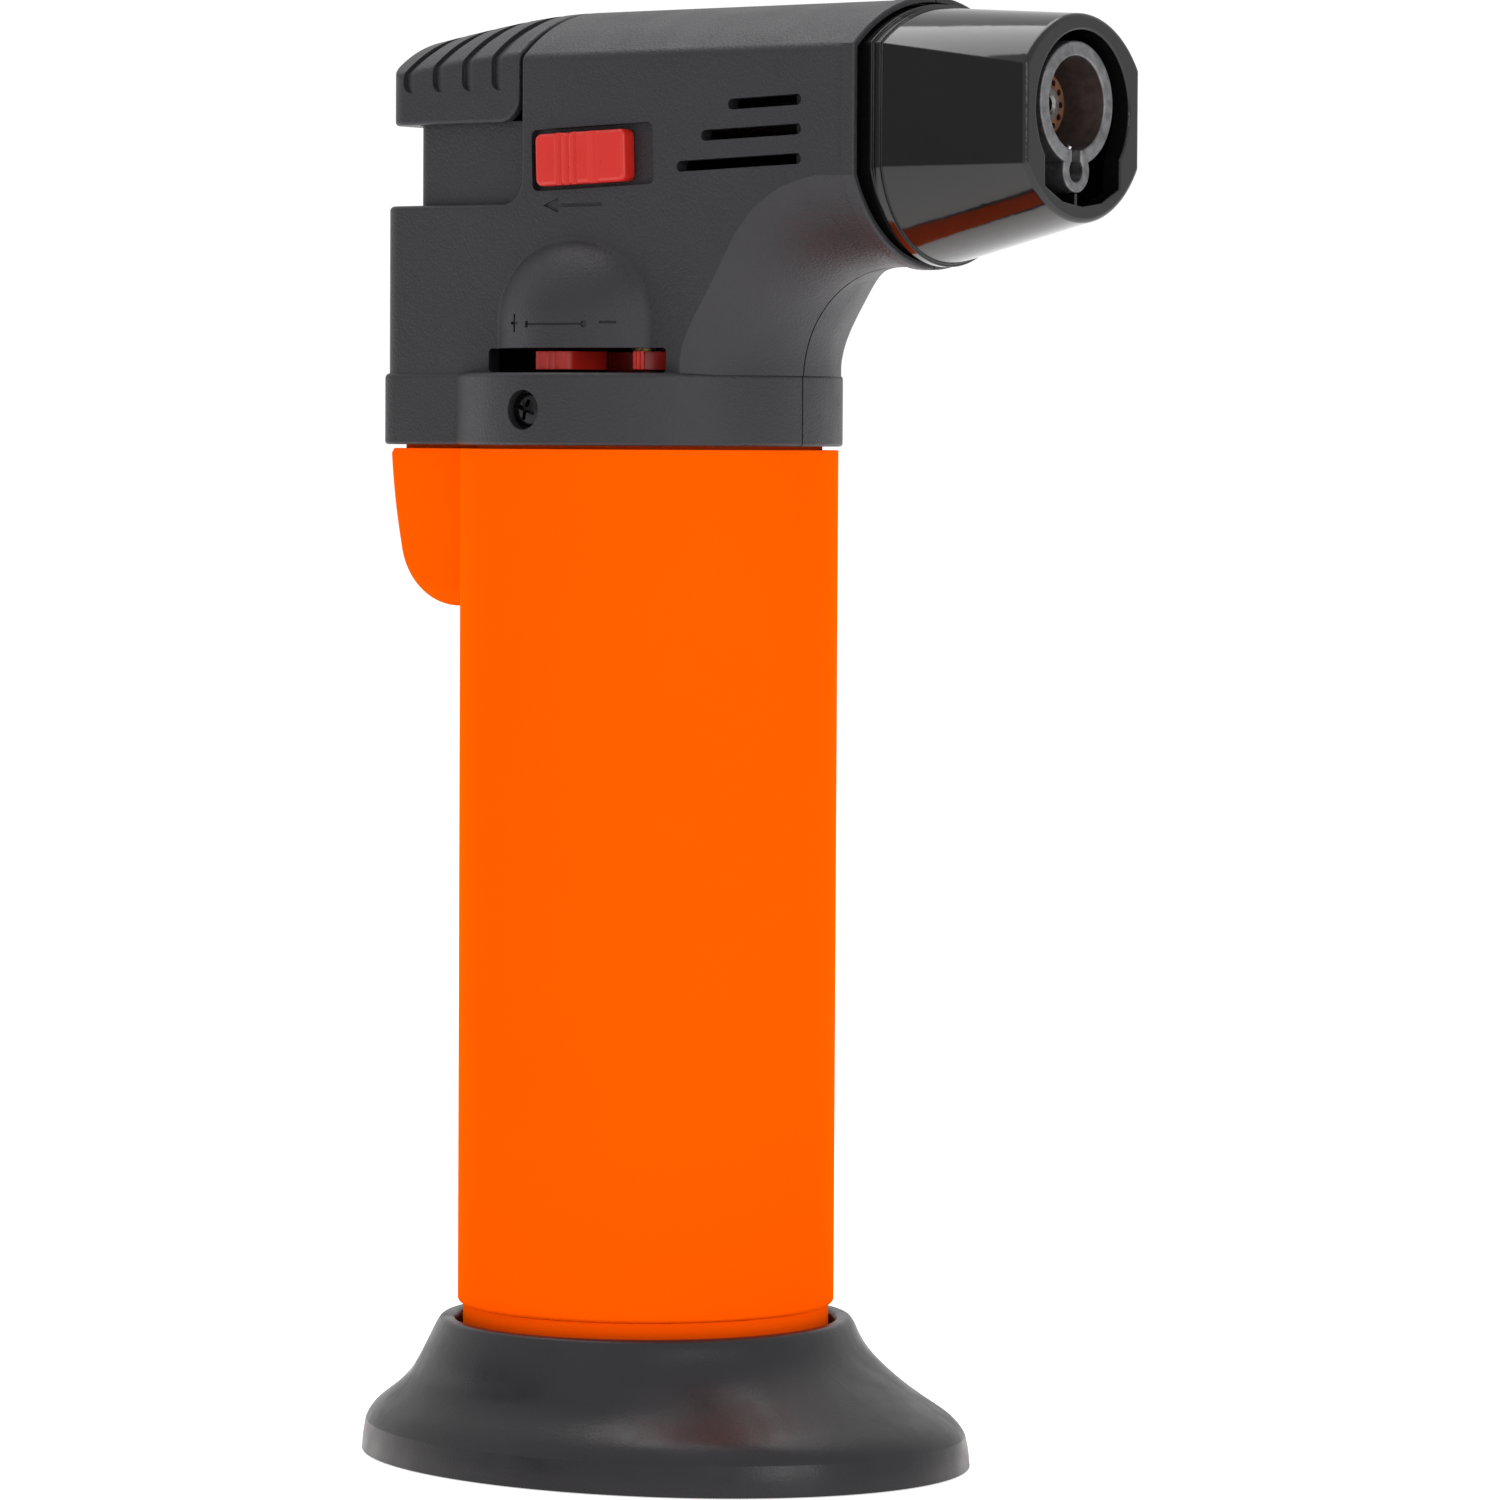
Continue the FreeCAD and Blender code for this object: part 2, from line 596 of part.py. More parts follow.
def plan_outline(half, rear, corner, bulge, front, z0, z1):
    """Rear lobe of the head in plan: flat sides, rounded rear corners, bowed rear wall."""
    c = corner
    s = c * (1 - math.sqrt(0.5))
    w = Part.Wire([
        arc_or_line(V(front, -half, z0), V(front, half, z0)),
        arc_or_line(V(front, half, z0), V(-rear + c, half, z0)),
        arc_or_line(V(-rear + c, half, z0), V(-rear, half - c, z0), V(-rear + s, half - s, z0)),
        arc_or_line(V(-rear, half - c, z0), V(-rear, -half + c, z0), V(-rear - bulge, 0, z0)),
        arc_or_line(V(-rear, -half + c, z0), V(-rear + c, -half, z0), V(-rear + s, -half + s, z0)),
        arc_or_line(V(-rear + c, -half, z0), V(front, -half, z0))])
    return Part.Face(w).extrude(V(0, 0, z1 - z0))


def mouth_face(x, off, low=None):
    """Cross-section of the head at the mouth, inset by off: flat sides, arched roof
    and a deeper arched underside."""
    hh, R, crown = val("head_half"), val("roof_radius"), val("roof_crown")
    zc = crown - R
    Rb = val("mouth_bottom_radius")
    zb = val("throat_z") + 11.5 + Rb
    h = hh - off
    zt = zc + math.sqrt((R - off) ** 2 - h ** 2)
    zl = zb - math.sqrt((Rb - off) ** 2 - h ** 2)
    return Part.Face(Part.Wire([
        arc_or_line(V(x, -h, zl), V(x, -h, zt)),
        arc_or_line(V(x, -h, zt), V(x, h, zt), V(x, 0, crown - off)),
        arc_or_line(V(x, h, zt), V(x, h, zl)),
        arc_or_line(V(x, h, zl), V(x, -h, zl), V(x, 0, zb - Rb + off))]))


throat_table = [(0, 18.1, 12.3), (20, 17.4, 12.1), (37, 17.0, 11.9), (52, 18.1, 11.7), (63, 19.2, 11.6), (77, 20.2, 11.5), (90, 20.8, 11.5)]
for i, (ang, re_, ri_) in enumerate(throat_table):
    dim("throat_edge_%s" % chr(97 + i), re_)
    dim("throat_mid_%s" % chr(97 + i), ri_)
doc.recompute()


roof_table = ((2.0, 157.9, 152.75), (-7.0, 157.9, 152.75), (-13.0, 157.5, 152.42), (-18.7, 156.75, 151.8), (-24.5, 155.85, 150.95), (-30.0, 154.85, 150.0))


def roof_wire(x, crown_, edge, drop, depth, half, k):
    """Cross-section at x: vertical sides, an arched top lowered by drop and inset by
    depth, and corners rounded to k."""
    bh_ = val("button_half")
    R = (bh_ ** 2 + (crown_ - edge) ** 2) / (2 * (crown_ - edge))
    zc_, r = crown_ - R - drop, R - depth
    if k <= 0:
        e = zc_ + math.sqrt(r * r - half * half)
        return Part.Wire([arc_or_line(V(x, -half, 130), V(x, -half, e)), arc_or_line(V(x, -half, e), V(x, half, e), V(x, 0, zc_ + r)),
                          arc_or_line(V(x, half, e), V(x, half, 130)), arc_or_line(V(x, half, 130), V(x, -half, 130))])
    yf = half - k
    zf = zc_ + math.sqrt((r - k) ** 2 - yf ** 2)
    uy, uz = yf / (r - k), (zf - zc_) / (r - k)
    n = math.hypot(1 + uy, uz)
    ty, tz, my, mz = r * uy, zc_ + r * uz, yf + k * (1 + uy) / n, zf + k * uz / n
    return Part.Wire([arc_or_line(V(x, -half, 130), V(x, -half, zf)), arc_or_line(V(x, -half, zf), V(x, -ty, tz), V(x, -my, mz)),
                      arc_or_line(V(x, -ty, tz), V(x, ty, tz), V(x, 0, zc_ + r)), arc_or_line(V(x, ty, tz), V(x, half, zf), V(x, my, mz)),
                      arc_or_line(V(x, half, zf), V(x, half, 130)), arc_or_line(V(x, half, 130), V(x, -half, 130))])


def roof_loft(drop, half, k=0.0):
    """Arched roof whose crown falls away towards the rear; drop is the depth below the skin."""
    return Part.makeLoft([roof_wire(x, c, e, drop, 0.0, half, k) for x, c, e in roof_table], True, False)


def throat_section(i, off):
    """One cross-section of the throat, turned about the centre of its curve."""
    ang = throat_table[i][0]
    cx, cz, hh, Rb = val("throat_x"), val("throat_z"), val("head_half"), val("mouth_bottom_radius")
    h = hh - off
    re_, ri_ = val("throat_edge_%s" % chr(97 + i)), val("throat_mid_%s" % chr(97 + i))
    if ang == 90:
        ri_, re_ = 11.5, 11.5 + Rb - math.sqrt(Rb ** 2 - hh ** 2)
    sag = re_ - ri_
    R = (hh * hh + sag * sag) / (2 * sag)
    rc = ri_ + R
    r_in, r_e = ri_ + off, rc - math.sqrt((R - off) ** 2 - h ** 2)
    co, si = math.cos(math.radians(ang)), math.sin(math.radians(ang))

    def P(r, y):
        return V(cx - r * co, y, cz + r * si)
    return Part.Wire([
        arc_or_line(P(r_e, -h), P(r_e, h), P(r_in, 0)),
        arc_or_line(P(r_e, h), P(30, h)), arc_or_line(P(30, h), P(30, -h)), arc_or_line(P(30, -h), P(r_e, -h))])


def throat(off):
    return Part.makeLoft([throat_section(i, off) for i in range(len(throat_table))], True, False)


def head(off, rear, z_low, roof_front):
    """The head above the collar, inset by off."""
    cx, cz, hh, R, crown = val("throat_x"), val("throat_z"), val("head_half"), val("roof_radius"), val("roof_crown")
    h, zc = hh - off, crown - R
    zt = zc + math.sqrt((R - off) ** 2 - h ** 2)
    roof = Part.Face(Part.Wire([
        arc_or_line(V(-40, -h, z_low), V(-40, -h, zt)), arc_or_line(V(-40, -h, zt), V(-40, h, zt), V(-40, 0, crown - off)),
        arc_or_line(V(-40, h, zt), V(-40, h, z_low)), arc_or_line(V(-40, h, z_low), V(-40, -h, z_low))])).extrude(V(100, 0, 0))
    r = 29.0
    side = Part.Face(Part.Wire([
        arc_or_line(V(-40, -50, z_low), V(cx - r, -50, z_low)),
        arc_or_line(V(cx - r, -50, z_low), V(cx - r, -50, cz)) if z_low < cz - 1e-6 else arc_or_line(V(cx - r, -50, cz - 1e-3), V(cx - r, -50, cz)),
        arc_or_line(V(cx - r, -50, cz), V(cx, -50, cz + r), V(cx - r * math.sqrt(0.5), -50, cz + r * math.sqrt(0.5))),
        arc_or_line(V(cx, -50, cz + r), V(roof_front, -50, cz + r)),
        arc_or_line(V(roof_front, -50, cz + r), V(roof_front, -50, 180)),
        arc_or_line(V(roof_front, -50, 180), V(-40, -50, 180)),
        arc_or_line(V(-40, -50, 180), V(-40, -50, z_low))])).extrude(V(0, 100, 0))
    plan = plan_outline(h, rear, 2.5 - min(off, 1.6), 0.8, 60, z_low - 1, 190)
    slab = roof.common(side).common(plan)
    out = slab.fuse([throat(off), mouth_face(cx - 0.01, off).extrude(V(roof_front - cx, 0, 0))])
    return solid_of(out.removeSplitter())


def bounds(x0, x1, y0, y1, z0, z1):
    return Part.makeBox(x1 - x0, y1 - y0, z1 - z0, V(x0, y0, z0))


def rounded_bar(x0, x1, z0, z1, y0, y1, r, tilt=1.9):
    """Bar with rounded ends, standing up by the tilt towards the nozzle."""
    w = Part.Wire([arc_or_line(V(x0 + r, y0, z0), V(x1 - r, y0, z0)),
                   arc_or_line(V(x1 - r, y0, z0), V(x1, y0, z0 + r), V(x1 - r + r * math.sqrt(.5), y0, z0 + r - r * math.sqrt(.5))),
                   ] + ([arc_or_line(V(x1, y0, z0 + r), V(x1, y0, z1 - r))] if z1 - z0 > 2 * r + 1e-6 else []) + [
                   arc_or_line(V(x1, y0, z1 - r), V(x1 - r, y0, z1), V(x1 - r + r * math.sqrt(.5), y0, z1 - r + r * math.sqrt(.5))),
                   arc_or_line(V(x1 - r, y0, z1), V(x0 + r, y0, z1)),
                   arc_or_line(V(x0 + r, y0, z1), V(x0, y0, z1 - r), V(x0 + r - r * math.sqrt(.5), y0, z1 - r + r * math.sqrt(.5))),
                   ] + ([arc_or_line(V(x0, y0, z1 - r), V(x0, y0, z0 + r))] if z1 - z0 > 2 * r + 1e-6 else []) + [
                   arc_or_line(V(x0, y0, z0 + r), V(x0 + r, y0, z0), V(x0 + r - r * math.sqrt(.5), y0, z0 + r - r * math.sqrt(.5)))])
    s = Part.Face(w).extrude(V(0, y1 - y0, 0))
    s.rotate(V((x0 + x1) / 2, 0, (z0 + z1) / 2), V(0, 1, 0), -tilt)
    return s


W = val("shell_wall")
cb, ct = val("collar_bottom"), val("collar_top")
# collar
col_out = Part.makeCylinder(val("collar_radius"), ct - cb, V(0, 0, cb)).fuse(
    plan_outline(val("collar_half"), val("collar_rear"), 2.6, 0.8, 0, cb, ct)).removeSplitter()
col_out = soften(col_out, 0.55, lambda e: abs(e.BoundBox.ZMin - ct) < 1e-3 and abs(e.BoundBox.ZMax - ct) < 1e-3)
col_out = soften(col_out, 0.35, lambda e: abs(e.BoundBox.ZMin - cb) < 1e-3 and abs(e.BoundBox.ZMax - cb) < 1e-3)
col_in = Part.makeCylinder(val("collar_radius") - 2.0, ct - W - cb + 2, V(0, 0, cb - 2)).fuse(
    plan_outline(val("collar_half") - 2.0, val("collar_rear") - 2.0, 1.2, 0.8, 0, cb - 2, ct - W))
mf = val("mouth_front")
head_out = head(0.0, val("head_rear"), ct - 0.5, mf - 1.2)
# the shelf, the bay and the column that the button slides over
bf, sh = val("bay_front"), val("shelf_height")
notch = Part.Face(Part.Wire([
    arc_or_line(V(-60, -60, sh), V(-bf - 2.8, -60, sh)),
    arc_or_line(V(-bf - 2.8, -60, sh), V(-bf, -60, sh + 2.8), V(-bf - 2.8 + 2.8 * math.sqrt(.5), -60, sh + 2.8 - 2.8 * math.sqrt(.5))),
    arc_or_line(V(-bf, -60, sh + 2.8), V(-bf, -60, 190)), arc_or_line(V(-bf, -60, 190), V(-60, -60, 190)),
    arc_or_line(V(-60, -60, 190), V(-60, -60, sh))])).extrude(V(0, 120, 0))
column = plan_outline(val("column_half"), val("column_rear"), 1.5, 0.5, -bf + 3, sh - 2, 170).common(
    roof_loft(val("button_roof_wall") + val("button_travel") + val("column_clearance"), val("column_half") + 1))
column = column.fuse(plan_outline(val("column_half"), val("column_rear"), 1.5, 0.5, -bf + 3, sh - 2, 140)).removeSplitter()
column = column.cut(bounds(-9.4, 0, -20, 20, 145.7, 180))
head_out = head_out.cut(notch.cut(column))
head_out = solid_of(head_out.removeSplitter())
roof_line = roof_crown.v - roof_radius.v + math.sqrt(roof_radius.v ** 2 - head_half.v ** 2)
head_out = soften(head_out, 1.3, lambda e: abs(e.BoundBox.ZMin - roof_line) < 0.01 and abs(e.BoundBox.ZMax - roof_line) < 0.01
                  and abs(abs(e.CenterOfMass.y) - val("head_half")) < 0.01)
head_out = soften(head_out, 0.5, lambda e: abs(e.BoundBox.ZMin - sh) < 1e-3 and abs(e.BoundBox.ZMax - sh) < 1e-3
                  and (abs(abs(e.CenterOfMass.y) - val("head_half")) < 0.05 or e.CenterOfMass.x < -val("head_rear") + 1.6))
# mouth lip, a little proud of the head, counterbored for the nozzle guard
lip = mouth_face(mf - 1.5, -0.35).extrude(V(1.5, 0, 0))
lip = soften(lip, 0.3, lambda e: abs(e.BoundBox.XMin - mf) < 1e-3 and abs(e.BoundBox.XMax - mf) < 1e-3)
# hood over the adjuster window
hx, hy, hr = 0.7, -5.89, 13.11


def hood(inset, z0):
    rho = 10.24
    r = hr - inset
    zs, zt_ = 124.0, 133.2 - inset
    cxh, rr_ = hr - rho, rho - inset
    top_r = cxh + math.sqrt(max(rr_ ** 2 - (zt_ - zs) ** 2, 0.01))
    prof = Part.Wire([
        arc_or_line(V(hx, hy, z0), V(hx + r, hy, z0)), arc_or_line(V(hx + r, hy, z0), V(hx + r, hy, zs)),
        arc_or_line(V(hx + r, hy, zs), V(hx + top_r, hy, zt_),
                    V(hx + cxh + rr_ * math.cos(math.asin((zt_ - zs) / rr_) / 2), hy, zs + rr_ * math.sin(math.asin((zt_ - zs) / rr_) / 2))),
        arc_or_line(V(hx + top_r, hy, zt_), V(hx, hy, zt_)), arc_or_line(V(hx, hy, zt_), V(hx, hy, z0))])
    return Part.Face(prof).revolve(V(hx, hy, 0), V(0, 0, 1), 360)


hood_out = hood(0.0, 121.0).common(bounds(-20, 20, -30, -val("head_half") + 0.8, 110, 140))
hood_in = hood(1.5, 122.4).common(bounds(-20, 20, -30, -9.0, 110, 140))
outer = col_out.fuse([head_out, lip, hood_out])
outer = solid_of(outer.removeSplitter())
outer = soften(outer, 0.9, lambda e: 121.2 < e.CenterOfMass.z < 133.5 and abs(e.CenterOfMass.y + val("head_half")) < 0.02
               and abs(e.BoundBox.YMax - e.BoundBox.YMin) < 0.05 and -12 < e.BoundBox.XMin and e.BoundBox.XMax < 13)
outer = soften(outer, 0.35, lambda e: abs(e.CenterOfMass.z - 121.0) < 0.02 and e.BoundBox.ZMax - e.BoundBox.ZMin < 0.02 and e.CenterOfMass.y < -14.2)
# inside of the housing
front_void = head(W, 40.0, ct - W - 1.0, mf + 8).common(bounds(-5.2, 60, -40, 40, 100, 200))
low_void = plan_outline(val("head_half") - W, val("head_rear") - W, 0.9, 0.8, -3, ct - W - 1.0, sh - W)
column_void = plan_outline(val("column_half") - 1.6, val("column_rear") - 1.8, 0.8, 0.4, -8.4, sh - W - 1, 200)
link_void = bounds(-12, -3, -val("column_half") + 1.6, val("column_half") - 1.6, 118, 143.8)
throat_floor = Part.Face(throat_section(0, W)).extrude(V(0, 0, -3))
void = col_in.fuse([low_void, column_void, link_void, front_void, throat_floor])
shell = outer.cut(void).cut(hood_in)
# ribs: a bulkhead that carries the mixing tube, and bosses for the lever pin
bulk = head(W - 0.3, 40.0, ct - 2, mf + 8).common(bounds(29.0, 30.6, -40, 40, 120, 200)).cut(
    Part.makeCylinder(3.45, 20, V(20, 0, val("tube_axis")), V(1, 0, 0)))
lead_slot = bounds(28, 32, -9.2, -2.4, 136.8, 141.2)
pin_x, pin_z = -6.0, 124.25
boss_l = Part.makeCylinder(2.4, 7.2, V(pin_x, 5.8, pin_z), V(0, 1, 0))
boss_r = Part.makeCylinder(2.4, 6.6, V(pin_x, -8.8, pin_z), V(0, -1, 0)).common(hood(0.6, 121).fuse(bounds(-30, 30, -13.5, 0, 100, 150)))
shell = shell.fuse([bulk.cut(lead_slot), boss_l, boss_r])
# openings
window = rounded_bar(-11.2, 13.5, ct, 121.05, -40, -9.0, 0.5, 0.0)
slots = []
for x0, x1, zm in ((21.7, 31.5, 146.85), (18.1, 31.5, 143.7), (14.8, 31.5, 140.55)):
    for y0, y1 in ((-20, -11.5), (11.5, 20)):
        slots.append(rounded_bar(x0, x1, zm - 0.58, zm + 0.58, y0, y1, 0.575))
recess = rounded_bar(-5.2, 11.6, 138.25, 144.85, -20, -val("head_half") + 1.0, 0.7)
lock_slot = rounded_bar(-3.0, 8.15, 139.9, 142.9, -20, -9, 0.6)
screw_x, screw_z = -0.5, 114.4
screw_cut = []
for s in (-1, 1):
    screw_cut.append(Part.makeCylinder(2.15, 6, V(screw_x, s * 19.55, screw_z), V(0, s, 0)))
    screw_cut.append(Part.makeCylinder(1.25, 8, V(screw_x, s * 17.0, screw_z), V(0, s, 0)))
pin_hole = Part.makeCylinder(1.05, 22.4, V(pin_x, -11.2, pin_z), V(0, 1, 0))
counterbore = mouth_face(36.4, 0.35).extrude(V(10, 0, 0))
# engraved marks: a plus, a double arrow and a minus on the hood; an arrow below the lock
marks = []


def groove_on_hood(x0, x1, z0, z1):
    return bounds(x0, x1, -40, -3, z0, z1).cut(hood(0.28, 120.0))


marks += [groove_on_hood(-4.36, -4.04, 122.75, 124.7), groove_on_hood(-4.95, -3.45, 123.57, 123.87), groove_on_hood(-1.9, 5.5, 123.48, 123.7),
          groove_on_hood(-2.15, -1.7, 123.25, 123.93), groove_on_hood(5.2, 5.7, 123.25, 123.93), groove_on_hood(7.0, 8.55, 123.65, 123.9)]
arrow_tool = Part.Face(Part.makePolygon([V(-3.6, -20, 136.45), V(-1.5, -20, 135.65), V(-1.5, -20, 137.25), V(-3.6, -20, 136.45)])).extrude(V(0, 20.25 - val("head_half"), 0))
marks += [bounds(-1.6, 4.6, -20, -val("head_half") + 0.25, 136.28, 136.62), arrow_tool]
shell = shell.cut([window, recess, lock_slot, pin_hole, counterbore] + slots + screw_cut + marks)
shell = solid_of(shell)
print("housing", shell.isValid(), round(shell.Volume, 1))
gap = val("seam_gap")
for node, y0, y1 in (("housing_right", -60, -gap), ("housing_left", gap, 60)):
    half = solid_of(shell.common(bounds(-60, 80, y0, y1, 90, 200)))
    keep(feature(node + "_shape", half), node)

# -------------------------------------------------------------------- button
bh, br, bfr, bz = val("button_half"), val("button_rear"), val("button_front"), val("button_bottom")


def button_side(inset, low):
    c = 2.8
    return Part.Face(Part.Wire([
        arc_or_line(V(-60, -60, low), V(-bfr - inset - c, -60, low)),
        arc_or_line(V(-bfr - inset - c, -60, low), V(-bfr - inset, -60, low + c), V(-bfr - inset - c + c * math.sqrt(.5), -60, low + c - c * math.sqrt(.5))),
        arc_or_line(V(-bfr - inset, -60, low + c), V(-bfr - inset, -60, 190)), arc_or_line(V(-bfr - inset, -60, 190), V(-60, -60, 190)),
        arc_or_line(V(-60, -60, 190), V(-60, -60, low))])).extrude(V(0, 120, 0))


btn = roof_loft(0.0, bh, 1.3).common(plan_outline(bh, br, 2.5, 0.8, 0, 120, 190)).common(button_side(0.0, bz))
raw = solid_of(btn)
for r_rear in (1.4, 1.1, 0.8, 0.5):
    btn = soften(raw, r_rear, lambda e: 149 < e.BoundBox.ZMin and e.BoundBox.ZMax - e.BoundBox.ZMin < 5.5 and e.CenterOfMass.x < -br + 2.4)
    if raw.Volume - btn.Volume > 2.0:
        break
print("button edges", r_rear, round(raw.Volume - btn.Volume, 2), btn.isValid())
btn = soften(btn, 0.4, lambda e: abs(e.BoundBox.ZMin - bz) < 1e-3 and abs(e.BoundBox.ZMax - bz) < 1e-3)


def roof_at(x):
    """Crown and edge heights of the roof at x."""
    for (xa, ca, ea), (xb, cb_, eb) in zip(roof_table, roof_table[1:]):
        if xb <= x <= xa:
            t = (xa - x) / (xa - xb)
            return ca + (cb_ - ca) * t, ea + (eb - ea) * t
    return roof_table[-1][1:]


# four shingled grip steps: each is deep at its rear end and runs out to the skin
ridges = []
for i in range(4):
    x = -23.75 + i * val("ridge_pitch")
    w = 1.7
    core_ = Part.makeLoft([roof_wire(x - 0.01, *roof_at(x), 0.0, 0.5, bh - 0.5, 0.9),
                           roof_wire(x + w + 0.01, *roof_at(x + w), 0.0, -0.06, bh + 0.06, 1.3)], True, True)
    c45 = 1.1 * (1 - math.sqrt(0.5))
    bar = Part.Face(Part.Wire([
        arc_or_line(V(x, -40, 150.1), V(x, -40, 170)), arc_or_line(V(x, -40, 170), V(x + w, -40, 170)),
        arc_or_line(V(x + w, -40, 170), V(x + w, -40, 149.0)), arc_or_line(V(x + w, -40, 149.0), V(x + 1.1, -40, 149.0)),
        arc_or_line(V(x + 1.1, -40, 149.0), V(x, -40, 150.1), V(x + c45, -40, 149.0 + c45))])).extrude(V(0, 80, 0))
    ridges.append(bar.cut(core_))
ch, cr_ = val("column_half") + 0.3, val("column_rear") + 0.35
room = roof_loft(val("button_roof_wall"), ch).common(plan_outline(ch, cr_, 1.7, 0.5, 0, 120, 190))
inner = room.common(button_side(1.3, bz - 8)).fuse(room.common(bounds(-40, 2, -20, 20, 120, 146.1 + val("button_travel"))))
btn = btn.cut(ridges).cut(inner)
# a pad over the igniter, and the leg that works the valve lever
pz_x = -13.8
post = Part.makeBox(8.0, 7.0, 6.0, V(pz_x - 4.0, -3.5, 152.4)).common(roof_loft(0.9, 12))
leg = Part.makeBox(1.3, 2.6, 27.5, V(-11.7, -8.2, 129.7)).common(roof_loft(0.9, 12))
leg_rib = Part.makeBox(1.3, 7.2, 4.0, V(-11.7, -10.5, 153.0)).common(roof_loft(0.9, 13))
btn = solid_of(btn.fuse([post, leg, leg_rib]).removeSplitter())
print("button", btn.isValid(), round(btn.Volume, 1))
keep(feature("ignition_button_shape", btn), "ignition_button")

# -------------------------------------------------------------------- piezo
pb = body("piezo_body")
s = sketch(pb, "piezo_outline", "XY_Plane", 111.2)
outline(s, [(-18.6, -4.5), (-9.0, -4.5), (-9.0, 4.5), (-18.6, 4.5)])
pad(pb, "piezo_block", s, 22.8)
doc.recompute()
s = sketch(pb, "piezo_bore_outline", "XY_Plane", 114.0)
outline(s, [(-17.7, -3.4), (-9.9, -3.4), (-9.9, 3.4), (-17.7, 3.4)])
pocket(pb, "piezo_bore", s, 30, reverse=True)
pp = body("piezo_plunger")
s = sketch(pp, "plunger_outline", "XY_Plane", 127.6)
outline(s, [(-17.4, -3.1), (-10.2, -3.1), (-10.2, 3.1), (-17.4, 3.1)])
pad(pp, "plunger_block", s, 24.75)
doc.recompute()
spring("button_return_spring", 2.2, 0.6, 114.1, 127.5, 7, at=(-13.8, 0))

# ------------------------------------------------------------- lever and pin
lp = body("lever_pin")
revolve(lp, "lever_pin_turned", [(0, 0), (0.8, 0), (1.0, 0.25), (1.0, 21.75), (0.8, 22), (0, 22)])
place(lp, (pin_x, -11.0, pin_z), ALONG_Y)
lever = Part.makeCylinder(2.3, 11.0, V(pin_x, -5.5, pin_z), V(0, 1, 0))
fork = [bounds(pin_x, 1.4, 2.0, 3.5, 123.3, 124.3), bounds(pin_x, 1.4, -3.5, -2.0, 123.3, 124.3),
        bounds(-0.6, 0.6, 2.0, 3.5, 123.8, 125.05), bounds(-0.6, 0.6, -3.5, -2.0, 123.8, 125.05),
        bounds(pin_x, -3.4, -3.5, 3.5, 123.3, 124.8)]
wing = [bounds(-12.6, pin_x, -8.4, -5.2, 123.4, 125.0), bounds(-7.0, pin_x + 1.0, -8.4, -5.0, 123.4, 125.0)]
lever = solid_of(lever.fuse(fork + wing).removeSplitter())
lever = lever.cut(Part.makeCylinder(1.06, 40, V(pin_x, -20, pin_z), V(0, 1, 0)))
keep(feature("valve_lever_shape", solid_of(lever)), "valve_lever")

# --------------------------------------------------------------- lock slider
# The thumb piece stands in the recess, its stem passes through the slot in the wall
# to a hook plate on the inside.
lk = rounded_bar(-3.9, 8.3, 138.65, 144.25, -15.2, -13.1, 0.75)
lk_x, lk_z = 2.2, 141.45
lock_tools = []
for x in (-0.6, 0.45, 1.5):
    lock_tools.append(Part.makeCylinder(0.6, 20, V(x, -15.55, 131), V(0, 0, 1)))
lock_tools += [Part.makeCylinder(1.2, 20, V(4.3, -16.05, 131), V(0, 0, 1)), bounds(4.3, 20, -16, -14.95, 130, 150)]
for c in lock_tools:
    c.rotate(V(lk_x, 0, lk_z), V(0, 1, 0), -1.9)
lk = lk.cut(lock_tools)
vol = lk.Volume
for r_ in (0.5, 0.35, 0.2):
    lk_soft = soften(lk, r_, lambda e: e.BoundBox.YMax < -14.3 and (e.CenterOfMass.x < -3.0 or e.CenterOfMass.x > 7.0 or e.CenterOfMass.z < 139.2 or e.CenterOfMass.z > 143.7))
    if vol - lk_soft.Volume > 0.5:
        break
lk = lk_soft
print("lock edges", r_, round(vol - lk.Volume, 2), lk.isValid())
lk_stem = rounded_bar(-2.4, 5.4, 140.3, 142.5, -13.3, -10.6, 0.5)
lk_hook = rounded_bar(-4.4, 6.4, 138.9, 143.9, -11.6, -10.4, 0.8)
lk = solid_of(lk.fuse([lk_stem, lk_hook]).removeSplitter())
print("lock", lk.isValid())
keep(feature("lock_slider_shape", lk), "lock_slider")

# -------------------------------------------------------------------- screws
screws = []
for s in (-1, 1):
    head_ = Part.makeCylinder(1.95, 0.55, V(screw_x, s * 19.58, screw_z), V(0, s, 0))
    dome = Part.makeSphere(4.2).common(bounds(-9, 9, -9, 9, 3.78, 9))
    dome.Placement = Placement(V(screw_x, s * (20.13 - 3.78), screw_z), Rotation(V(0, 0, 1), V(0, s, 0)))
    shank = Part.makeCylinder(1.1, 5.66, V(screw_x, s * 13.95, screw_z), V(0, s, 0))
    one = head_.fuse([dome, shank]).removeSplitter()
    for d in (0, 90):
        slot_ = Part.makeBox(2.3, 1.2, 0.46, V(-1.15, 0, -0.23))
        slot_.rotate(V(), V(0, 1, 0), d + 20)
        slot_.translate(V(screw_x, s * 19.95 if s > 0 else s * 19.95 - 1.2, screw_z))
        one = one.cut(slot_)
    screws.append(solid_of(one))
keep(feature("housing_screws_shape", Part.makeCompound(screws)), "housing_screws")

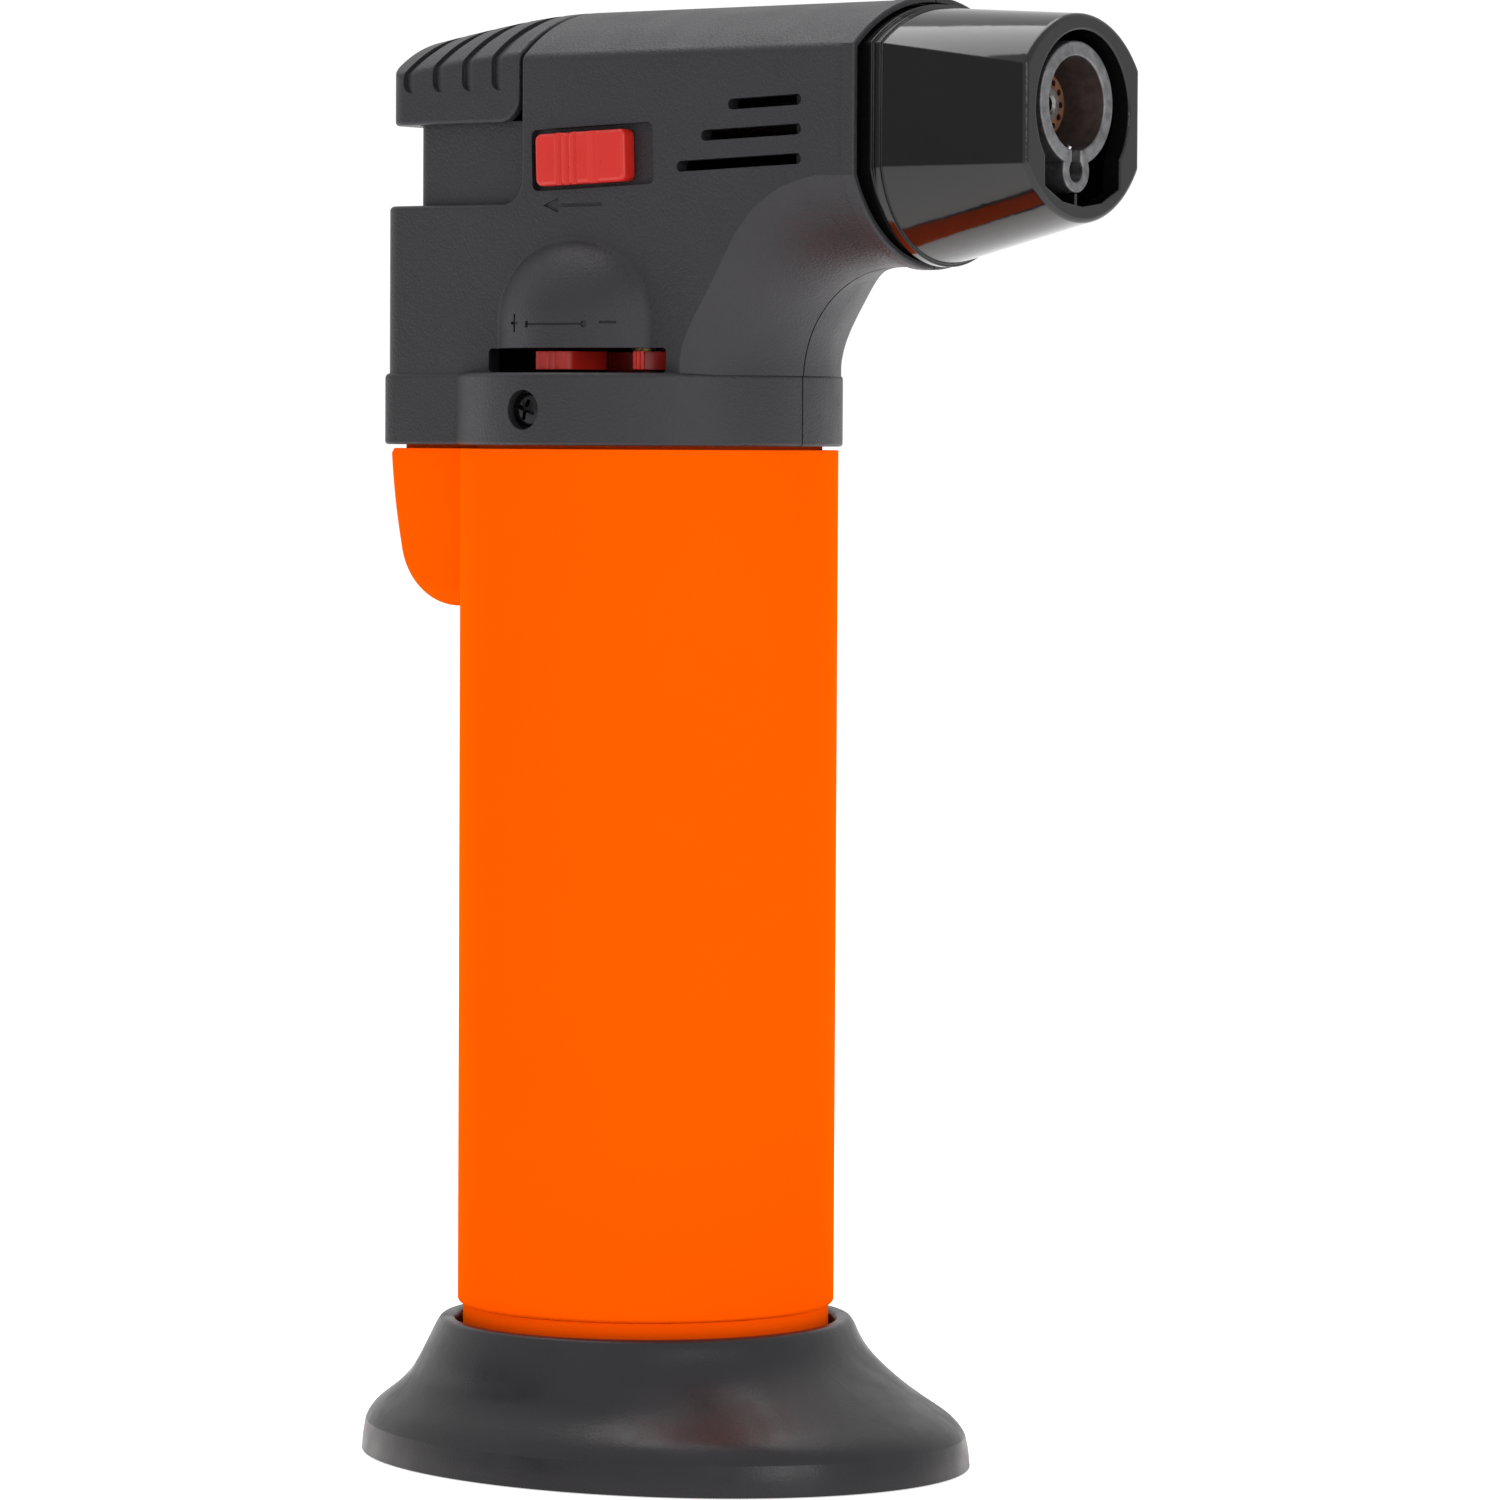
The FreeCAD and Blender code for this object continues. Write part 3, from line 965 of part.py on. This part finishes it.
# -------------------------------------------------------- jet, tube, burner
jh = body("jet_holder")
revolve(jh, "jet_turned", [(0.25, 0), (1.15, 0), (1.15, 3.6), (3.0, 3.6), (3.0, 9.6), (2.55, 9.6), (2.55, 12.6), (0.25, 12.6)])
place(jh, (9.0, 0, tube_axis), ALONG_X)
mt = body("mixing_tube")
revolve(mt, "mixing_turned", [(2.65, 0), (3.3, 0), (3.3, 31.0), (2.65, 31.0)])
doc.recompute()
s = sketch(mt, "air_hole_sketch", "XZ_Plane")
ring(s, 1.1, 0, 5.2)
ah = mt.newObject("PartDesign::Pocket", "air_holes")
ah.Profile = s
ah.Type = "ThroughAll"
ah.Midplane = True
place(mt, (18.7, 0, tube_axis), ALONG_X)
bn = body("burner_head")
revolve(bn, "burner_turned", [(0.88, 0), (2.6, 0), (2.6, 1.4), (4.82, 1.4), (4.82, 2.4), (3.45, 3.4), (3.45, 4.5), (3.2, 4.72), (1.9, 4.72), (1.72, 5.1), (1.15, 5.1), (0.88, 4.85)])
doc.recompute()
s = sketch(bn, "burner_port_sketch", "XY_Plane", 3.2)
ring(s, 0.34, 2.56, 0)
pf = pocket(bn, "burner_port", s, 5, reverse=True)
polar(bn, "burner_ports", pf, 12, s)
place(bn, (48.3, 0, tube_axis), ALONG_X)

# keyhole section: the round tube with a small lobe below it for the electrode
zc, zl = val("tube_axis"), val("lobe_axis")


def keyhole(x0, length, R, r, neck):
    """Round hole of radius R and lobe hole of radius r joined by a neck."""
    a = Part.makeCylinder(R, length, V(x0, 0, zc), V(1, 0, 0))
    b2 = Part.makeCylinder(r, length, V(x0, 0, zl), V(1, 0, 0))
    out = a.fuse([b2] + ([bounds(x0, x0 + length, -neck, neck, zl, zc)] if neck else []))
    return out.removeSplitter()


x0, x1 = 36.5, val("flame_tube_front")
tube = keyhole(x0, x1 - x0, val("flame_tube_outer"), 2.35, 1.5).cut(keyhole(x0 - 1, x1 - x0 + 2, val("flame_tube_inner"), 1.2, 0.75))
tube = solid_of(tube)
tube = soften(tube, 0.25, lambda e: abs(e.BoundBox.XMin - x1) < 1e-3 and abs(e.BoundBox.XMax - x1) < 1e-3)
keep(feature("flame_tube_shape", tube), "flame_tube")

ins = body("electrode_insulator")
revolve(ins, "insulator_turned", [(0.42, 0), (1.1, 0), (1.1, 13.6), (0.9, 13.9), (0.42, 13.9)])
place(ins, (38.2, 0, lobe_axis), ALONG_X)
ew_pts = [V(36.2, 0, zl), V(54.2, 0, zl), V(56.0, 0, zl + 2.7)]
keep(feature("electrode_wire_shape", pipe(ew_pts, 0.4)), "electrode_wire")

# ------------------------------------------------------------- hose and lead
hose_pts = [V(0, 0, 128.9), V(0, 0, 137.2), V(4.6, 0, zc), V(12.4, 0, zc)]
hose = pipe(hose_pts, 1.9, 1.2)
keep(feature("gas_hose_shape", hose), "gas_hose")
lead_pts = [V(-8.95, -2.2, 131.0), V(-4.6, -2.4, 131.0), V(2.0, -6.2, 134.0), V(10.0, -7.6, 136.2), V(20.0, -7.6, 138.0), V(29.0, -7.6, 138.8),
            V(32.0, -3.4, 139.5), V(34.0, 0.0, zl), V(36.15, 0.0, zl)]
keep(feature("ignition_lead_shape", pipe(lead_pts, 0.6)), "ignition_lead")


# -------------------------------------------------------------- nozzle guard
def guard_face(x, h, zt, crown_, zb, bot):
    return Part.Wire([
        arc_or_line(V(x, -h, zb), V(x, -h, zt)), arc_or_line(V(x, -h, zt), V(x, h, zt), V(x, 0, crown_)),
        arc_or_line(V(x, h, zt), V(x, h, zb)), arc_or_line(V(x, h, zb), V(x, -h, zb), V(x, 0, bot))])


gx = val("guard_front")
g_body = Part.makeLoft([guard_face(40.5, 12.0, 152.7, 156.9, 139.8, 129.95), guard_face(gx, 10.1, 150.2, 155.8, 139.9, 134.1)], True, True)
g_body = soften(g_body, 0.5, lambda e: abs(e.BoundBox.XMin - gx) < 1e-3 and abs(e.BoundBox.XMax - gx) < 1e-3)
band2 = Part.Face(guard_face(39.7, 12.3, 152.75, 157.1, 139.7, 129.65)).extrude(V(0.85, 0, 0))
band1 = Part.Face(guard_face(36.7, 12.6, 152.85, 157.3, 139.6, 130.2)).extrude(V(3.0, 0, 0))
spigot = mouth_face(33.0, W + 0.15).extrude(V(5.0, 0, 0))
cavity_front = gx - 2.2
g_in = Part.makeLoft([guard_face(30.0, 10.3, 151.9, 155.3, 140.4, 132.2), guard_face(38.0, 10.3, 151.9, 155.3, 140.4, 132.2)], True, True).fuse(
    Part.makeLoft([guard_face(38.0, 10.3, 151.9, 155.3, 140.4, 132.2), guard_face(cavity_front, 9.0, 149.8, 154.5, 140.2, 134.95)], True, True))
# the outlet: a round hole over a squarer lower part that clears the electrode's lobe
mouth_low = Part.Face(Part.makePolygon([V(50, -6.65, 141.2), V(50, -6.65, 137.75), V(50, -3.5, 136.2), V(50, 0, 135.75), V(50, 3.5, 136.2), V(50, 6.65, 137.75),
                                        V(50, 6.65, 141.2), V(50, -6.65, 141.2)])).extrude(V(gx - 50 + 0.01, 0, 0))
outlet = Part.makeCylinder(8.3, gx - 50 + 0.01, V(50, 0, 145.8), V(1, 0, 0)).fuse(mouth_low)
g_in = g_in.fuse(outlet.common(bounds(cavity_front - 0.5, 80, -20, 20, 120, 170)))
guard = g_body.fuse([band2, band1, spigot]).removeSplitter().cut(g_in)
# a thin bridge below the lobe that steadies the flame tube
bridge = bounds(53.0, 56.9, -0.22, 0.22, 134.7, 137.1)
guard = solid_of(guard.fuse([bridge]).removeSplitter())
guard = soften(guard, 0.2, lambda e: abs(e.BoundBox.XMin - gx) < 1e-3 and abs(e.BoundBox.XMax - gx) < 1e-3 and abs(e.CenterOfMass.y) < 8.6
               and 135 < e.CenterOfMass.z < 155 and e.BoundBox.YMax < 8.6 and e.BoundBox.YMin > -8.6)
print("guard", guard.isValid(), round(guard.Volume, 1))
keep(feature("nozzle_guard_shape", guard), "nozzle_guard")

# -------------------------------------------------------------------- export
doc.recompute()
for o in doc.Objects:
    if "Invalid" in o.State or "Error" in o.State:
        raise RuntimeError("%s (%s) failed: %s" % (o.Name, o.Label, o.State))
for node in sorted(parts):
    shp = parts[node].Shape
    if shp.isNull() or not shp.isValid() or not shp.Solids:
        raise RuntimeError("bad shape: " + node)
for old in os.listdir("parts"):
    if old.endswith(".step") and old[:-5] not in parts:
        os.remove(os.path.join("parts", old))
for node in sorted(parts):
    shp = parts[node].Shape
    shp.exportStep("parts/%s.step" % node)
    bb = shp.BoundBox
    print("%-22s solids %d vol %9.1f  x %.1f..%.1f y %.1f..%.1f z %.1f..%.1f" % (
        node, len(shp.Solids), shp.Volume, bb.XMin, bb.XMax, bb.YMin, bb.YMax, bb.ZMin, bb.ZMax))
print(len(parts), "nodes")
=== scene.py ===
import bpy, json, math
from mathutils import Matrix, Vector

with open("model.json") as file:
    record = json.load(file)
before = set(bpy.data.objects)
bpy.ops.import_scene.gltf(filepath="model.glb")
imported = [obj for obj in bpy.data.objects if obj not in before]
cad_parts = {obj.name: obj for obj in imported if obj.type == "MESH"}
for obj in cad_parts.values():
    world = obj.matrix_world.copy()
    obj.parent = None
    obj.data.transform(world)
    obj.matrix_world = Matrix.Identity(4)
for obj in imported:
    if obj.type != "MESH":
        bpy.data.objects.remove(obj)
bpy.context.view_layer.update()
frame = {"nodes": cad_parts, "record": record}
nodes = frame["nodes"]

# ------------------------------------------------------------------ materials
def links(nt, *pairs):
    for a, b in pairs:
        nt.links.new(a, b)


def new_material(name):
    m = bpy.data.materials.new(name)
    m.use_nodes = True
    nt = m.node_tree
    nt.nodes.clear()
    out = nt.nodes.new("ShaderNodeOutputMaterial")
    sh = nt.nodes.new("ShaderNodeBsdfPrincipled")
    co = nt.nodes.new("ShaderNodeTexCoord")
    links(nt, (sh.outputs[0], out.inputs[0]))
    return m, nt, sh, co.outputs["Object"]


def noise(nt, co, scale, detail=2.0, rough=0.5, stretch=None):
    n = nt.nodes.new("ShaderNodeTexNoise")
    n.inputs["Scale"].default_value = scale
    n.inputs["Detail"].default_value = detail
    n.inputs["Roughness"].default_value = rough
    if stretch:
        mp = nt.nodes.new("ShaderNodeMapping")
        mp.inputs["Scale"].default_value = stretch
        links(nt, (co, mp.inputs["Vector"]), (mp.outputs[0], n.inputs["Vector"]))
    else:
        links(nt, (co, n.inputs["Vector"]))
    return n.outputs["Fac"]


def ramp(nt, fac, stops):
    r = nt.nodes.new("ShaderNodeValToRGB")
    e = r.color_ramp.elements
    while len(e) < len(stops):
        e.new(0.5)
    for k, (p, c) in zip(e, stops):
        k.position = p
        k.color = tuple(c) + (1.0,) if len(c) == 3 else c
    links(nt, (fac, r.inputs[0]))
    return r.outputs["Color"]


def spread(nt, fac, lo, hi, a=0.3, b=0.7):
    r = nt.nodes.new("ShaderNodeMapRange")
    for k, v in zip(("From Min", "From Max", "To Min", "To Max"), (a, b, lo, hi)):
        r.inputs[k].default_value = v
    links(nt, (fac, r.inputs["Value"]))
    return r.outputs["Result"]


def bump(nt, height, dist, strength=1.0, normal=None):
    b = nt.nodes.new("ShaderNodeBump")
    b.inputs["Strength"].default_value = strength
    b.inputs["Distance"].default_value = dist
    links(nt, (height, b.inputs["Height"]))
    if normal is not None:
        links(nt, (normal, b.inputs["Normal"]))
    return b.outputs["Normal"]


def soft_edges(nt, radius):
    """Normal of an edge worn to a small radius, as moulded edges are."""
    b = nt.nodes.new("ShaderNodeBevel")
    b.samples = 4
    b.inputs["Radius"].default_value = radius
    return b.outputs["Normal"]


def shade(c, k):
    return tuple(min(1.0, v * k) for v in c)


def plastic(name, rgb, rough, grain=0.0, grain_size=0.0003, vary=0.1, rough_vary=0.06, spec=0.5, coat=0.0, tint=None, edge=0.00012, sheen=None):
    """Moulded plastic: slow drift of tone, fine grain from the tool, uneven sheen."""
    m, nt, sh, co = new_material(name)
    slow = noise(nt, co, 60.0, 3.0)
    links(nt, (ramp(nt, slow, [(0.3, shade(rgb, 1 - vary)), (0.7, shade(rgb, 1 + vary))]), sh.inputs["Base Color"]))
    links(nt, (spread(nt, noise(nt, co, 240.0, 4.0), rough - rough_vary, rough + rough_vary), sh.inputs["Roughness"]))
    sh.inputs["Specular IOR Level"].default_value = spec
    if tint:
        sh.inputs["Specular Tint"].default_value = tint + (1.0,)
    if sheen:
        sh.inputs["Sheen Weight"].default_value = sheen[0]
        sh.inputs["Sheen Roughness"].default_value = 0.3
        sh.inputs["Sheen Tint"].default_value = sheen[1] + (1.0,)
    if coat:
        sh.inputs["Coat Weight"].default_value = coat
        sh.inputs["Coat Roughness"].default_value = 0.05
    n1 = bump(nt, noise(nt, co, 25.0, 1.0), 0.0004, 0.12, soft_edges(nt, edge))
    if grain:
        n1 = bump(nt, noise(nt, co, 1.0 / grain_size, 2.0, 0.6), grain, 0.9, n1)
    links(nt, (n1, sh.inputs["Normal"]))
    return m


def metal(name, rgb, rough, brush=None, grain=0.000006, vary=0.12, stain=None):
    m, nt, sh, co = new_material(name)
    sh.inputs["Metallic"].default_value = 1.0
    slow = noise(nt, co, 180.0, 4.0)
    if stain:
        links(nt, (ramp(nt, slow, [(0.25, shade(rgb, 1 - vary)), (0.5, rgb), (0.75, stain)]), sh.inputs["Base Color"]))
    else:
        links(nt, (ramp(nt, slow, [(0.3, shade(rgb, 1 - vary)), (0.7, shade(rgb, 1 + vary))]), sh.inputs["Base Color"]))
    fine = noise(nt, co, 3000.0, 2.0, 0.5, brush or (1, 1, 1))
    links(nt, (spread(nt, fine, rough - 0.08, rough + 0.08), sh.inputs["Roughness"]))
    links(nt, (bump(nt, fine, grain, 0.6), sh.inputs["Normal"]))
    return m


def math_node(nt, op, *ins):
    n = nt.nodes.new("ShaderNodeMath")
    n.operation = op
    for sock, v in zip(n.inputs, ins):
        if isinstance(v, (int, float)):
            sock.default_value = v
        else:
            links(nt, (v, sock))
    return n.outputs[0]


def around_tube(nt, co, node):
    """Distance from the flame tube's axis, in the node's own coordinates."""
    c = nodes[node].matrix_world.inverted() @ Vector((0.05, 0.0, 0.1465))
    sep = nt.nodes.new("ShaderNodeSeparateXYZ")
    links(nt, (co, sep.inputs[0]))
    y, z = math_node(nt, "SUBTRACT", sep.outputs["Y"], c.y), math_node(nt, "SUBTRACT", sep.outputs["Z"], c.z)
    return math_node(nt, "SQRT", math_node(nt, "ADD", math_node(nt, "MULTIPLY", y, y), math_node(nt, "MULTIPLY", z, z))), sep.outputs["X"], c.x


def mix_colour(nt, fac, a, b):
    m = nt.nodes.new("ShaderNodeMix")
    m.data_type = "RGBA"
    links(nt, (fac, m.inputs["Factor"]))
    for sock, v in ((m.inputs["A"], a), (m.inputs["B"], b)):
        if isinstance(v, tuple):
            sock.default_value = v + (1.0,)
        else:
            links(nt, (v, sock))
    return m.outputs["Result"]


def heated_metal(name, node, inner, outer, at, width, rough, metallic=1.0):
    """Metal whose colour changes at a radius from the flame's axis, with heat stains."""
    m, nt, sh, co = new_material(name)
    r, x, cx = around_tube(nt, co, node)
    stain = noise(nt, co, 900.0, 4.0, 0.6)
    wob = math_node(nt, "ADD", r, math_node(nt, "MULTIPLY", math_node(nt, "SUBTRACT", stain, 0.5), width * 0.8))
    fac = spread(nt, wob, 0.0, 1.0, at - width, at + width)
    col = mix_colour(nt, fac, ramp(nt, stain, [(0.35, shade(inner, 0.8)), (0.65, shade(inner, 1.25))]),
                     ramp(nt, stain, [(0.35, shade(outer, 0.72)), (0.65, shade(outer, 1.3))]))
    links(nt, (col, sh.inputs["Base Color"]))
    sh.inputs["Metallic"].default_value = metallic
    fine = noise(nt, co, 4000.0, 2.0)
    links(nt, (spread(nt, fine, rough - 0.08, rough + 0.08), sh.inputs["Roughness"]))
    links(nt, (bump(nt, fine, 0.000008, 0.6), sh.inputs["Normal"]))
    return m


MAT = {
    "stand_plastic": plastic("stand_satin_black", (0.0125, 0.0122, 0.0145), 0.34, 0.00002, 0.00035, 0.15, 0.07, 0.36),
    "orange_tank": plastic("tank_orange", (1.0, 0.094, 0.0), 0.42, 0.000004, 0.0005, 0.012, 0.04, 0.0, tint=(1.0, 0.45, 0.1), sheen=(0.22, (1.0, 0.42, 0.0))),
    "black_housing": plastic("housing_grained_black", (0.0168, 0.0163, 0.0200), 0.48, 0.00009, 0.00030, 0.12, 0.05, 0.42),
    "red_plastic": plastic("red_semi_gloss", (0.56, 0.018, 0.011), 0.30, 0.000004, 0.0005, 0.05, 0.05, 0.4),
    "gloss_guard": plastic("guard_polished_black", (0.0035, 0.0035, 0.0038), 0.085, 0.0, 0.0, 0.2, 0.02, 0.5, edge=0.00022),
    "white_plastic": plastic("natural_nylon", (0.72, 0.70, 0.64), 0.5, 0.000006, 0.0004, 0.04),
    "brass": metal("machined_brass", (0.72, 0.50, 0.20), 0.30, (1, 1, 6)),
    "burner_brass": heated_metal("burner_heat_stained", "burner_head", (0.20, 0.19, 0.19), (0.36, 0.19, 0.12), 0.0019, 0.0001, 0.42),
    "tube_steel": heated_metal("flame_tube_steel", "flame_tube", (0.13, 0.108, 0.105), (0.155, 0.155, 0.16), 0.00496, 0.00004, 0.44, 0.85),
    "spring_steel": metal("bright_wire", (0.62, 0.62, 0.63), 0.24),
    "dark_steel": metal("black_zinc_screw", (0.03, 0.03, 0.032), 0.2, None, 0.000005, 0.2),
    "seal_rubber": plastic("seal_rubber", (0.02, 0.02, 0.02), 0.75, 0.00001, 0.0003),
    "ceramic": plastic("insulator_ceramic", (0.78, 0.75, 0.68), 0.6, 0.00001, 0.0002, 0.06),
    "hose_rubber": plastic("hose_translucent", (0.45, 0.44, 0.40), 0.45, 0.000005, 0.0004),
    "lead_rubber": plastic("lead_insulation", (0.015, 0.015, 0.016), 0.4, 0.000005, 0.0004),
}
slots = {s["node"]: s["material_slot"] for s in frame["record"]["subparts"]}
for name, obj in nodes.items():
    m = MAT[slots[name]]
    obj.data.materials.clear()
    obj.data.materials.append(m)
    for p in obj.data.polygons:
        p.material_index = 0

# ------------------------------------------------------------- studio and camera
def area(name, at, target, size, power, color=(1, 1, 1), size_y=None, camera=False):
    d = bpy.data.lights.new(name, "AREA")
    d.shape = "RECTANGLE"
    d.size, d.size_y = size, size_y or size
    d.energy, d.color = power, color
    o = bpy.data.objects.new(name, d)
    bpy.context.scene.collection.objects.link(o)
    o.location = at
    o.rotation_euler = (Vector(target) - Vector(at)).to_track_quat("-Z", "Y").to_euler()
    o.visible_camera = camera
    return o


def floor_material():
    m, nt, sh, co = new_material("studio_floor")
    links(nt, (ramp(nt, noise(nt, co, 3.0, 2.0), [(0.3, (0.86, 0.86, 0.86)), (0.7, (0.89, 0.89, 0.89))]), sh.inputs["Base Color"]))
    sh.inputs["Roughness"].default_value = 0.8
    sh.inputs["Specular IOR Level"].default_value = 0.1
    sh.inputs["Emission Color"].default_value = (1, 1, 1, 1)
    sh.inputs["Emission Strength"].default_value = 0.54
    return m


def make_floor():
    me = bpy.data.meshes.new("studio_floor")
    s = 6.0
    me.from_pydata([(-s, -s, 0), (s, -s, 0), (s, s, 0), (-s, s, 0)], [], [(0, 1, 2, 3)])
    o = bpy.data.objects.new("studio_floor", me)
    bpy.context.scene.collection.objects.link(o)
    o.location = (0, 0, -0.0001)
    me.materials.append(floor_material())


make_floor()
world = bpy.data.worlds.new("studio")
bpy.context.scene.world = world
world.use_nodes = True
# a paler sky behind the object than around it, so that the backdrop stays white
wt = world.node_tree
sky, white = wt.nodes["Background"], wt.nodes.new("ShaderNodeBackground")
sky.inputs[0].default_value, sky.inputs[1].default_value = (1, 1, 1, 1), 0.8
white.inputs[0].default_value, white.inputs[1].default_value = (1, 1, 1, 1), 1.05
path, mix = wt.nodes.new("ShaderNodeLightPath"), wt.nodes.new("ShaderNodeMixShader")
links(wt, (path.outputs["Is Camera Ray"], mix.inputs[0]), (sky.outputs[0], mix.inputs[1]), (white.outputs[0], mix.inputs[2]),
      (mix.outputs[0], wt.nodes["World Output"].inputs[0]))



def card(name, direction, dist, size, grey):
    """A dull card beside the camera that only shows in polished faces."""
    d = Vector(direction).normalized()
    me = bpy.data.meshes.new(name)
    h = size / 2
    me.from_pydata([(-h, -h, 0), (h, -h, 0), (h, h, 0), (-h, h, 0)], [], [(0, 1, 2, 3)])
    o = bpy.data.objects.new(name, me)
    bpy.context.scene.collection.objects.link(o)
    o.location = Vector((0.05, 0.0, 0.146)) + d * dist
    o.rotation_euler = (-d).to_track_quat("Z", "Y").to_euler()
    m, nt, sh, co = new_material(name)
    links(nt, (ramp(nt, noise(nt, co, 2.0, 1.0), [(0.3, shade((grey,) * 3, 0.96)), (0.7, shade((grey,) * 3, 1.04))]), sh.inputs["Emission Color"]))
    sh.inputs["Base Color"].default_value = (0.0, 0.0, 0.0, 1.0)
    sh.inputs["Specular IOR Level"].default_value = 0.0
    sh.inputs["Emission Strength"].default_value = 1.0
    me.materials.append(m)
    o.visible_camera = o.visible_diffuse = o.visible_shadow = o.visible_transmission = False
    return o


card("side_card", (-0.617, -0.786, -0.05), 1.2, 0.9, 0.36)
area("top_box", (-0.15, 0.10, 0.75), (0, 0, 0.13), 0.55, 2.4, size_y=0.45)
area("key_box", (0.75, -0.35, 0.35), (0, 0, 0.10), 0.35, 1.2)

az, pitch, roll = math.radians(38.1), math.radians(2.6), math.radians(0.3)
back = Vector((math.sin(az) * math.cos(pitch), -math.cos(az) * math.cos(pitch), math.sin(pitch)))
right0 = Vector((math.cos(az), math.sin(az), 0))
up0 = back.cross(right0)
right = right0 * math.cos(roll) + up0 * math.sin(roll)
up = up0 * math.cos(roll) - right0 * math.sin(roll)
cam = bpy.data.cameras.new("camera")
cam.sensor_width = 36.0
cam.lens = 168.0
cam.clip_start, cam.clip_end = 0.01, 100.0
co_ = bpy.data.objects.new("camera", cam)
bpy.context.scene.collection.objects.link(co_)
co_.matrix_world = Matrix(((right.x, up.x, back.x, 0.48124), (right.y, up.y, back.y, -0.59568), (right.z, up.z, back.z, 0.11213), (0, 0, 0, 1)))
bpy.context.scene.camera = co_
bpy.context.scene.view_settings.view_transform = "Standard"
bpy.context.scene.view_settings.look = "None"
